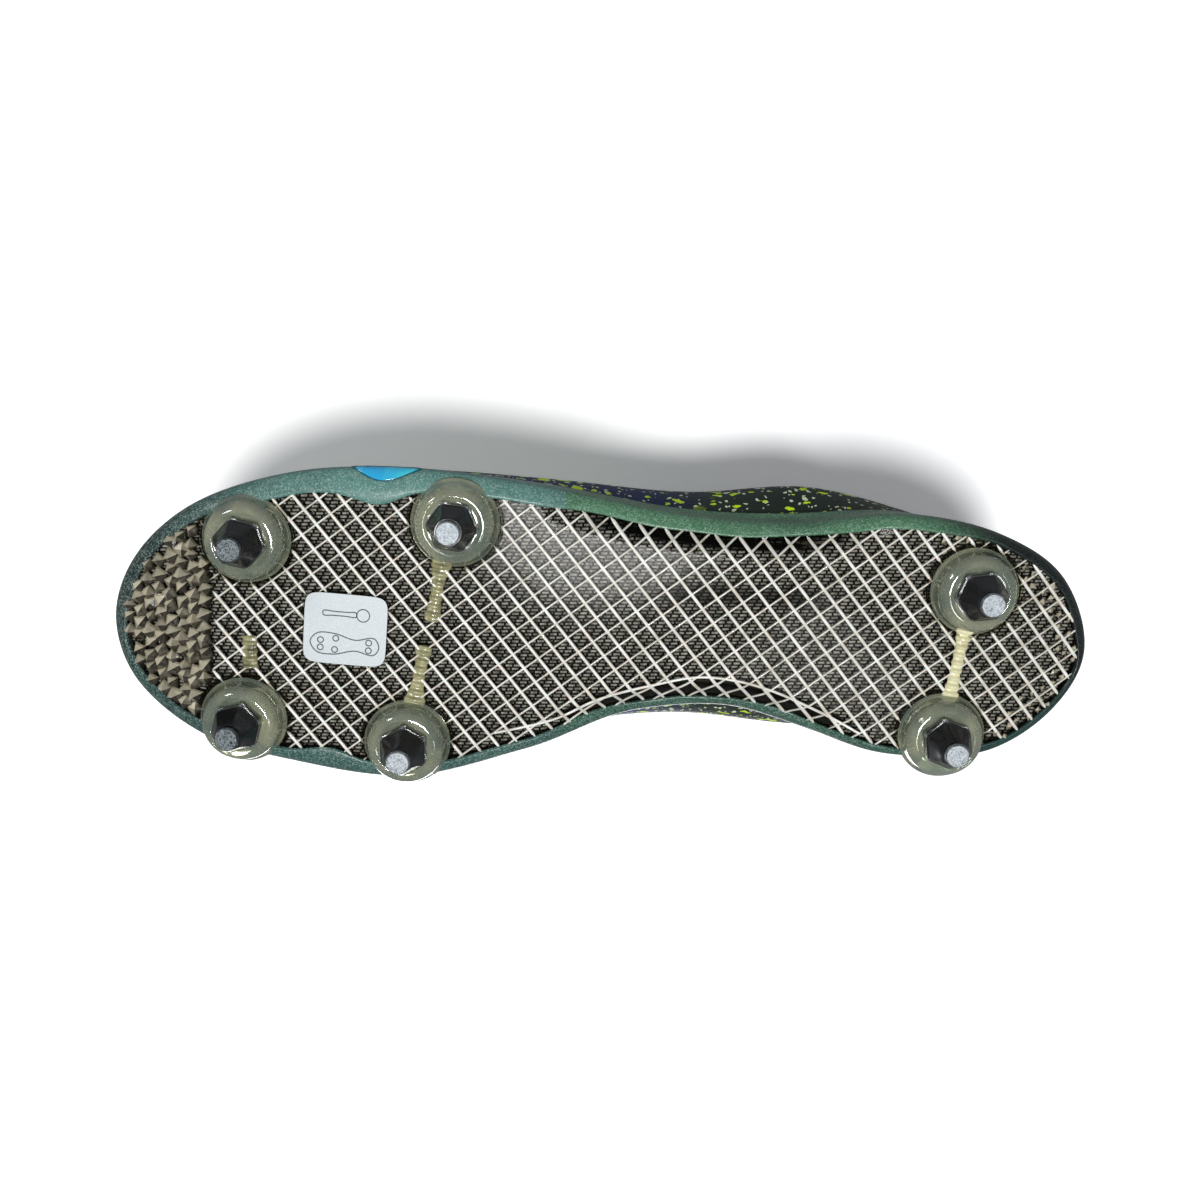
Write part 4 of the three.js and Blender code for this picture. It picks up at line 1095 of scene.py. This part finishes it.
# %% Lining and ankle pads
def band(x, low, high, soft):
    """1 between low and high and 0 outside, with soft edges."""
    return smoothstep(x, low, low + soft) * (1 - smoothstep(x, high - soft, high))


PAD_PLACES = [(0.044, 0.182), (0.818, 0.956)]
PAD_THICK, COUNTER_THICK, PAD_DEPTH = 3.3, 1.5, 1.25


def pad_swell(u, v):
    """How thick the padding is at a place and level, in millimetres."""
    width = sum(band(np.mod(u, 1), first, last, 0.05) for first, last in PAD_PLACES)
    return PAD_THICK * width * band(v, 0.6, 0.9, 0.14)


def counter_swell(u, v):
    """How thick the heel counter is there."""
    from_heel = np.abs(np.mod(u + 0.5, 1) - 0.5)
    return COUNTER_THICK * (1 - smoothstep(from_heel, 0.06, 0.1)) * band(v, 0.02, 0.6, 0.1)


def brushed_material():
    """Brushed polyester lining: black with a fuzzy sheen and a fine square weave of 0.9 mm."""
    material, add = new_material("brushed_polyester_lining")
    where = add("TexCoord", output=3)
    fuzz = add("TexNoise", {"Vector": where, "Scale": 1500.0, "Detail": 3.0})
    weave = add("TexVoronoi", {"Vector": where, "Scale": 1100.0}, distance="CHEBYCHEV")
    base = add("Mix", {0: fuzz, 6: "#101317", 7: "#2B3036"}, **COLOURS)
    height = add("Math", {0: fuzz, 1: weave}, operation="ADD")
    return finished(material, add, {
        "Base Color": base, "Roughness": 0.9, "Sheen Weight": 0.5, "Sheen Roughness": 0.5,
    }, (height, 0.5, 0.0003))


u, v = grid(places(420)[:-1], np.linspace(0.08, 0.985, 56))
swell = 1.3 + pad_swell(u, v) + counter_swell(u, v)
swell = swell + 0.3 * (swell > 1.4)
lining = put_grid("brushed_lining", layer(u, v, swell, swell + LINING), ring=True, tube=True)
dress(lining, brushed_material(), stands_for=["lining"])
foam = plain_material("open_cell_foam", "#2A2C30", 0.95, 0.0006, 0.15)
for name, (first, last) in zip(("ankle_pad_lateral", "ankle_pad_medial"), PAD_PLACES):
    u, v = grid(np.linspace(first + 0.006, last - 0.006, 40), np.linspace(0.615, 0.885, 24))
    thick = np.maximum(pad_swell(u, v) - 0.15, 0.06)
    pad = put_grid(f"{name}_foam", capped(layer(u, v, PAD_DEPTH, PAD_DEPTH + thick)), tube=True)
    dress(pad, foam, stands_for=[name])

# %% [markdown]
# The edge of the ankle opening is bound with a soft stretch tape, folded over and padded to a round
# roll. Its section is a flattened circle that stands on the upper's edge.

# %% Collar roll
def cloth_material(name, dark, light, cell, roughness, sheen):
    """Woven or knitted cloth: two colours by fine noise, and a bump of small round cells."""
    material, add = new_material(name)
    where = add("TexCoord", output=3)
    noise = add("TexNoise", {"Vector": where, "Scale": 300.0, "Detail": 4.0})
    base = add("Mix", {0: noise, 6: dark, 7: light}, **COLOURS)
    knit = add("TexVoronoi", {"Vector": where, "Scale": 1.0 / cell})
    return finished(material, add, {
        "Base Color": base, "Roughness": roughness, "Sheen Weight": sheen,
        "Sheen Roughness": 0.4,
    }, (knit, 0.5, 0.0004), invert=True)


collar_start, collar_end = -0.268, 0.268
u = np.linspace(collar_start, collar_end, 260)[:, None]
a = around(20)[None]
close = np.sin(np.pi / 2 * np.clip((collar_end - np.abs(u)) / 0.008, 0.0, 1))
depth = 0.95 + (1.9 + 0.12 * np.sin(150 * u)) * np.cos(a) * close
rise = 0.9 + (2.0 + 0.06 * np.sin(97 * u)) * np.sin(a) * close
section = under(np.mod(u + 0 * a, 1), 1.0, depth, rise)
collar = put_grid("collar_roll", section, tube=True)
collar_cloth = cloth_material("stretch_binding_tape", "#16203C", "#2A3761", 0.0009, 0.7, 0.4)
dress(collar, collar_cloth, stands_for=["collar_binding"])

# %% [markdown]
# Eyestays are welded film strips along both edges of the throat, with punched eyelets ringed by a
# pressed bead. The strip is a thin layer just outside the upper, with its lower edge thinned out.

# %% Eyestays and eyelet rings
EYELET_LEVEL = 0.93
EYELET_PLACES = np.linspace(0.315, 0.455, 6)
film = plain_material("matt_welded_film", "#1A2648", 0.35, 0.0012, 0.05, coat=0.2)
throat_start, throat_end = 0.262, 0.482
for name, flip in (("eyestay_lateral", False), ("eyestay_medial", True)):
    u = np.linspace(throat_start, throat_end, 120)
    u, v = grid(1 - u if flip else u, np.linspace(0.85, 1.0, 20))
    thick = 0.62 * np.sqrt(np.clip((v - 0.849) / 0.03, 0.02, 1))
    thick = thick * np.clip((1.004 - v) / 0.02, 0.2, 1)
    strip = put_grid(f"{name}_film", capped(layer(u, v, -0.22 - thick, -0.15)), tube=True)
    dress(strip, film, stands_for=[name])


def at_eyelets(make):
    """One shape for each eyelet: its middle on the strip and its two ways along the surface."""
    shapes = []
    for place in [*EYELET_PLACES, *(1 - EYELET_PLACES)]:
        middle = under(place, EYELET_LEVEL, -0.85)
        right = under(place + 0.002, EYELET_LEVEL, -0.85) - middle
        up = under(place, EYELET_LEVEL + 0.004, -0.85) - middle
        out = under(place, EYELET_LEVEL, -1.85) - middle
        shapes.append(make(middle, *(unit(way) for way in (right, up, out))))
    return shapes


def eyelet_ring(middle, right, up, out):
    """A bead bent into a ring: a small circle carried round a larger one."""
    a = around(36)[:, None, None]
    b = around(10)[None, :, None]
    spoke = np.cos(a) * right + np.sin(a) * up
    return middle + (2.3 + 0.5 * np.cos(b)) * spoke + 0.4 * np.sin(b) * out


def eyelet_floor(middle, right, up, out):
    """A shallow dark cup inside the ring, closed below: its near-black is painted shadow inside the
    hole.
    """
    a = around(24)[:, None, None]
    r = np.array([0.0, 1.2, 2.1, 2.1, 1.2, 0.0])[None, :, None]
    h = np.array([-0.1, -0.1, 0.0, -0.25, -0.3, -0.3])[None, :, None]
    return middle + r * (np.cos(a) * right + np.sin(a) * up) + h * out


ring_bead = plain_material("pressed_film_bead", "#0E1630", 0.3, 0.0006, 0.02)
dress(several("eyelet_rings", at_eyelets(eyelet_ring)), ring_bead)
# painted shadow: the near-black cup stands for the shade inside each eyelet hole
hole_painted_shadow = plain_material("eyelet_hole_painted_shadow", "#050608", 0.8, 0.0005, 0.02)
dress(several("eyelet_holes", at_eyelets(eyelet_floor), tube=False), hole_painted_shadow)

# %% [markdown]
# The tongue is a padded tongue of knit over foam: a strip across the throat that crowns in the
# middle and stands up behind the laces. Air pressure in a short cloth simulation rounds it out, and
# no point may move more than a cap, so that it stays clear of the laces.

# %% Tongue
THROAT_STATIONS = (11 / 40, 19 / 40)


def tongue_row(share, extra):
    """Seven points across the tongue at a share of its length: up one edge, over the crown and
    down the other."""
    t = THROAT_STATIONS[0] + (THROAT_STATIONS[1] - THROAT_STATIONS[0]) * share
    u = station(t)
    depth = 4.8 + (2.5 - 4.8) * share ** 6 + extra
    levels = (0.82, 0.91, 1.0)
    sides = [np.stack([under(place, level, depth) for level in levels]) for place in (u, 1 - u)]
    crown = (sides[0][2] + sides[1][2]) / 2
    crown[..., 2] += 3 + (0.5 - 3) * share
    return np.concatenate([sides[0], crown[None], sides[1][::-1]])


CLOTH_STEPS = 20


def swollen(made, pressure, cap):
    """Blows a closed mesh up a little as cloth under pressure, caps each point's travel and keeps
    the result. Gives the longest travel before the cap, in millimetres."""
    before = np.empty(len(made.data.vertices) * 3, np.float32)
    made.data.vertices.foreach_get("co", before)
    cloth = made.modifiers.new("cloth", "CLOTH").settings
    cloth.use_pressure, cloth.uniform_pressure_force = True, pressure
    cloth.effector_weights.gravity = 0
    cloth.mass, cloth.tension_stiffness, cloth.compression_stiffness = 0.2, 40, 40
    for step in range(1, CLOTH_STEPS + 1):
        scene.frame_set(step)
    result = made.evaluated_get(bpy.context.evaluated_depsgraph_get()).to_mesh()
    after = np.empty_like(before)
    result.vertices.foreach_get("co", after)
    made.modifiers.clear()
    scene.frame_set(1)
    move = (after - before).reshape(-1, 3)
    length = np.linalg.norm(move, axis=1, keepdims=True)
    move *= np.minimum(1, cap / np.maximum(length, 1e-9))
    made.data.vertices.foreach_set("co", (before.reshape(-1, 3) + move).ravel())
    made.data.update()
    return round(float(length.max() * 1000), 2)


share = np.linspace(0, 1, 46)
across = np.linspace(0, 1, 40)


def tongue_sheet(extra):
    """The tongue's face at a depth: smoothed rows across it, and a top that stands up and back."""
    rows = np.moveaxis(tongue_row(share, extra), 0, 1)
    rows = np.stack([along(row, across) for row in rows])
    stand = np.linspace(1, 0, 12)[:-1, None, None]
    top = rows[:1] * [1, 0, 1] + rows[:1] * [0, 1, 0] * (1 - 0.2 * stand)
    return np.concatenate([top + np.array([-9, 0, 9]) * stand, rows])


outer_sheet = tongue_sheet(0.0)
inner_sheet = tongue_sheet(3.0)
edge = np.sin(np.pi * across) ** 0.45
ends = np.sin(np.pi * np.linspace(0.0, 1.0, len(outer_sheet))) ** 0.3
full = (0.12 + 0.8 * edge)[None, :, None] * np.maximum(ends, 0.15)[:, None, None]
middle_sheet = (outer_sheet + inner_sheet) / 2
faces = (middle_sheet + (sheet - middle_sheet) * full for sheet in (outer_sheet, inner_sheet))
tongue = put_grid("knit_tongue", capped(folded(*faces)), tube=True)
print("tongue swells, mm", swollen(tongue, pressure=3.0, cap=0.0006))
tongue_knit = cloth_material("spacer_knit_tongue", "#1A2750", "#2E4178", 0.0012, 0.75, 0.4)
dress(tongue, tongue_knit, stands_for=["tongue"])

# %% [markdown]
# One lace is threaded in straight bars through both rows of eyelets and ends inside, so the boot
# holds all of it. It is flat braided polyester: an oval section is carried along the route, and
# braid ridges cross it as two families of slanting waves on its own coordinates.

# %% Lace
def frames(path):
    """Two ways square to a path at each point: level sideways, smoothed, and up from both."""
    way = unit(np.gradient(path, axis=0))
    side = np.cross(way, [0.0, 0.0, 1.0])
    weak = np.linalg.norm(side, axis=1) < 0.2
    side[weak] = 0
    for _ in range(30):
        side = (np.roll(side, 1, 0) + 2 * side + np.roll(side, -1, 0)) / 4
        side -= way * (side * way).sum(1, keepdims=True)
    side /= np.maximum(np.linalg.norm(side, axis=1, keepdims=True), 1e-6)
    return side, np.cross(side, way)


route = []
for row, place in enumerate(EYELET_PLACES[::-1]):
    sides = (1 - place, place) if row % 2 else (place, 1 - place)
    stops = (EYELET_LEVEL, 2.6), (EYELET_LEVEL, 0.3), (EYELET_LEVEL, -2.7), (1.0, -2.9)
    first, last = ([under(side, *stop) for stop in stops] for side in sides)
    route += [*first, (first[3] + last[3]) / 2 + [0, 0, 0.6], *last[::-1]]
lace_path = along(np.array(route), np.linspace(0, 1, 900))
side, up = frames(lace_path)
a = np.linspace(0, 2 * np.pi, 17)[None, :, None]
s = np.r_[0, np.cumsum(np.linalg.norm(np.diff(lace_path, axis=0), axis=1))]
braid = 0.06 * np.sin(2 * np.pi * s / 1.6)[:, None, None] * np.cos(4 * a)
close = np.clip(np.minimum(s, s[-1] - s) / 0.6, 0, 1)[:, None, None]
flat, tall = (1.2 + braid) * np.cos(a) * side[:, None], (0.8 + braid) * np.sin(a) * up[:, None]
tube = metres(lace_path[:, None] + close * (flat + tall))
lace = bpy.data.objects.new("lace_braid", bpy.data.meshes.new("lace_braid"))
lace.data.from_pydata(tube.reshape(-1, 3).tolist(), [], cells(900, 17)[:, ::-1].tolist())
scene.collection.objects.link(lace)
uv = lace.data.uv_layers.new(name="UVMap")
loops = np.empty(len(lace.data.loops), np.int32)
lace.data.loops.foreach_get("vertex_index", loops)
uv.data.foreach_set("uv", np.stack([s[loops // 17] / 1000, (loops % 17) / 16], -1).ravel())
clean(lace, thin=False)


def braid_material():
    """Braided polyester cord: two slanting families of waves, 1.4 mm from ridge to ridge, with
    painted shade darkening the grooves between the ridges.
    """
    material, add = new_material("braided_polyester_lace")
    own = add("TexCoord", output=2)
    ridges = []
    for slope in (1.0, -1.0):
        bent = add("Mapping", {"Vector": own, "Scale": (700.0, 2.0 * slope, 1.0)})
        x, y = (add("SeparateXYZ", {0: bent}, output=n) for n in (0, 1))
        total = add("Math", {0: x, 1: y}, operation="ADD")
        turn = add("Math", {0: total, 1: 2 * np.pi}, operation="MULTIPLY")
        ridges.append(add("Math", {0: turn}, operation="SINE"))
    height = add("Math", {0: ridges[0], 1: ridges[1]}, operation="MAXIMUM")
    # painted shade: darker olive down in the grooves, lime on the ridges
    share = add("MapRange", {0: height, 1: -1.0, 2: 1.0})
    base = add("Mix", {0: share, 6: "#6E9410", 7: "#CDF02A"}, **COLOURS)
    return finished(material, add, {
        "Base Color": base, "Roughness": 0.75, "Sheen Weight": 0.3, "Sheen Roughness": 0.4,
    }, (height, 0.7, 0.0003))


dress(lace, braid_material(), stands_for=["lace"])
print("lace inside and over the boot, mm", round(float(s[-1])))

# %% [markdown]
# The footbed is moulded foam with a cloth top. It dips in the middle and turns up round its edge
# like a shallow dish, most of all under the heel.

# %% Footbed
def footbed_section():
    """Sections of the footbed: a flat underside, and a dish above whose rim rises at the heel."""
    inset_by = lambda u: EDGE_INSET + UPPER + 3.8 + 0 * u
    low = sole_sheet(200, 44, inset_by, SOCK_Z)
    share = np.linspace(-1, 1, 44)[None]
    heel = 1 - smoothstep(low[..., 0], -110, -30)
    top = 3.1 + (1.2 + 1.6 * heel) * np.abs(share) ** 4
    high = low + np.stack([0 * top, 0 * top, top * np.clip(8 * (1 - np.abs(share)), 0.6, 1)], -1)
    return folded(low, high)


footbed = put_grid("footbed", footbed_section(), tube=True)
footbed_cloth = cloth_material("cloth_topped_eva_foam", "#1B2F3A", "#2C4754", 0.001, 0.85, 0.3)
dress(footbed, footbed_cloth, stands_for=["sockliner"])

# %% [markdown]
# Rows of stitching hold the eyestays, the heel panel and the collar. Each stitch is a small closed
# spindle laid along a line on the upper, and the rows are the same shape carried along many places.

# %% Stitching
def stitches(line, length=2.0, gap=0.9, radius=0.28):
    """Spindles along a line: each is a ring of points that swells and closes between its ends."""
    run = np.r_[0, np.cumsum(np.linalg.norm(np.diff(line, axis=0), axis=1))]
    starts = np.arange(0.4, run[-1] - length, length + gap)[:, None]
    s = starts + np.linspace(0, 1, 5)[None] * length
    p = np.stack([np.interp(s, run, line[:, k]) for k in range(3)], -1)
    way = unit(p[:, -1:] - p[:, :1])
    side = unit(np.cross(way, [0.0, 0.0, 1.0]))
    up = np.cross(side, way)
    a = (np.arange(6) * np.pi / 3)[None, None, :, None]
    size = (radius * np.sqrt(np.clip(1 - np.linspace(-1, 1, 5) ** 2, 0, 1)))[None, :, None, None]
    return p[:, :, None] + size * (np.cos(a) * side[:, :, None] + np.sin(a) * up[:, :, None])


u_long = np.linspace(0.27, 0.478, 400)
rows = [under(u_long, 0.865, -0.95), under(1 - u_long, 0.865, -0.95)]
u_long = np.linspace(-0.26, 0.26, 500)
rows.append(under(np.mod(u_long, 1), 0.965, -0.08))
v_long = np.linspace(0.1, 0.94, 200)
for heel_u, way in ((0.105, -1), (0.112, -1), (0.888, 1), (0.895, 1)):
    rows.append(under(heel_u + way * 0.02 * np.sin(np.pi * v_long), v_long, -0.08))
thread_points = np.concatenate([stitches(row) for row in rows])
faces = repeated(cells(5, 6, tube=True), len(thread_points), 30)
stitching = put_mesh("stitching", metres(thread_points), faces)
thread = plain_material("bonded_polyester_thread", "#3C4C7E", 0.6, 0.0003, 0.02)
dress(stitching, thread)

# %% [markdown]
# The CAD parts that stay are hidden or seen only through the clear plastic. They get finishes too:
# turned steel inserts, a fibre board, white stiffener board and the blue cushion.

# %% Finishes for the CAD parts that stay
steel = plain_material("turned_plated_steel", "#CDBE86", 0.25, 0.0008, 0.01, metallic=1.0)
fibre = plain_material("pressed_fibre_board", "#C9BFA8", 0.85, 0.001, 0.05)
stiff = plain_material("thermoplastic_stiffener_sheet", "#E4E0D4", 0.7, 0.0007, 0.02)
kept = {"filler_board": fibre, "insole_board": fibre, "toe_puff": stiff, "heel_counter": stiff}
blue = plain_material("blown_blue_polyurethane", "#35B8D8", 0.2, 0.004, 0.02, coat=0.6)
kept["air_cushion"] = blue
kept |= {f"stud_insert_{k}": steel for k in range(1, 7)}
for name, material in kept.items():
    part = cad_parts[name]
    part.data.materials.clear()
    part.data.materials.append(material)
print("finishes on CAD parts", len(kept))


# %% [markdown]
# The floor shows only from above and the backdrop only from below, so that each view sees the boot
# with a pale surface behind it. Both let light pass and only the camera sees them.

# %% Stage and light
def one_sided(name, corners, shade, brightness):
    """A pale matt sheet, clear from its back and unseen by light."""
    made = bpy.data.objects.new(name, bpy.data.meshes.new(name))
    made.data.from_pydata(corners, [], [(0, 1, 2, 3)])
    scene.collection.objects.link(made)
    material, add = new_material(f"pale_paper_{name}")
    back = add("NewGeometry", output=6)
    pale = add("BsdfDiffuse", {"Color": (shade, shade, shade, 1)})
    glow = add("Emission", {"Color": (1, 1, 1, 1), "Strength": brightness})
    both = add("AddShader", {0: pale, 1: glow})
    clear = add("BsdfTransparent")
    add("OutputMaterial", {"Surface": add("MixShader", {0: back, 1: both, 2: clear})})
    made.data.materials.append(material)
    made.visible_diffuse = made.visible_glossy = False
    made.visible_transmission = made.visible_shadow = False
    return made


HALF_SIDE, FLOOR_Z, BACKDROP_Z = 1.5, 0.0, 0.12
corners = HALF_SIDE * np.array([[-1, -1], [1, -1], [1, 1], [-1, 1]])
one_sided("floor", [(x, y, FLOOR_Z) for x, y in corners.tolist()], 0.8, 0.45)
one_sided("backdrop", [(x, y, BACKDROP_Z) for y, x in corners.tolist()], 1.3, 0.0)

world = bpy.data.worlds.new("studio")
scene.world = world
world.use_nodes = True
world.node_tree.nodes.clear()
add = partial(node, world.node_tree)
seen = add("LightPath", output=0)
sky = add("Background", {"Color": (0.93, 0.96, 1.0, 1), "Strength": 0.25})
white = add("Background", {"Color": (1, 1, 1, 1), "Strength": 1.0})
add("OutputWorld", {"Surface": add("MixShader", {0: seen, 1: sky, 2: white})})


def lamp(name, kind, place, aim, energy, size):
    """A lamp at a place, turned to look at a point."""
    light = bpy.data.lights.new(name, kind)
    light.energy = energy
    setattr(light, "size" if kind == "AREA" else "angle", size)
    made = bpy.data.objects.new(name, light)
    scene.collection.objects.link(made)
    way = np.array(aim, float) - np.array(place, float)
    made.location = place
    made.rotation_euler = Vector(way).to_track_quat("-Z", "Y").to_euler()
    return made


# name, kind, place, aim, energy, size or angle
lamp("key", "AREA", (-0.16, -0.16, -0.50), (0, 0, 0.02), 0.3, 0.10)
lamp("side", "AREA", (0.36, 0.27, -0.26), (0, 0, 0.02), 0.35, 0.09)
lamp("low_sun", "SUN", (0.0, -0.11, -1.0), (0, 0, 0.0), 2.2, 0.22)
lamp("top", "AREA", (0.1, -0.35, 0.75), (0, 0, 0.03), 4.0, 0.5)
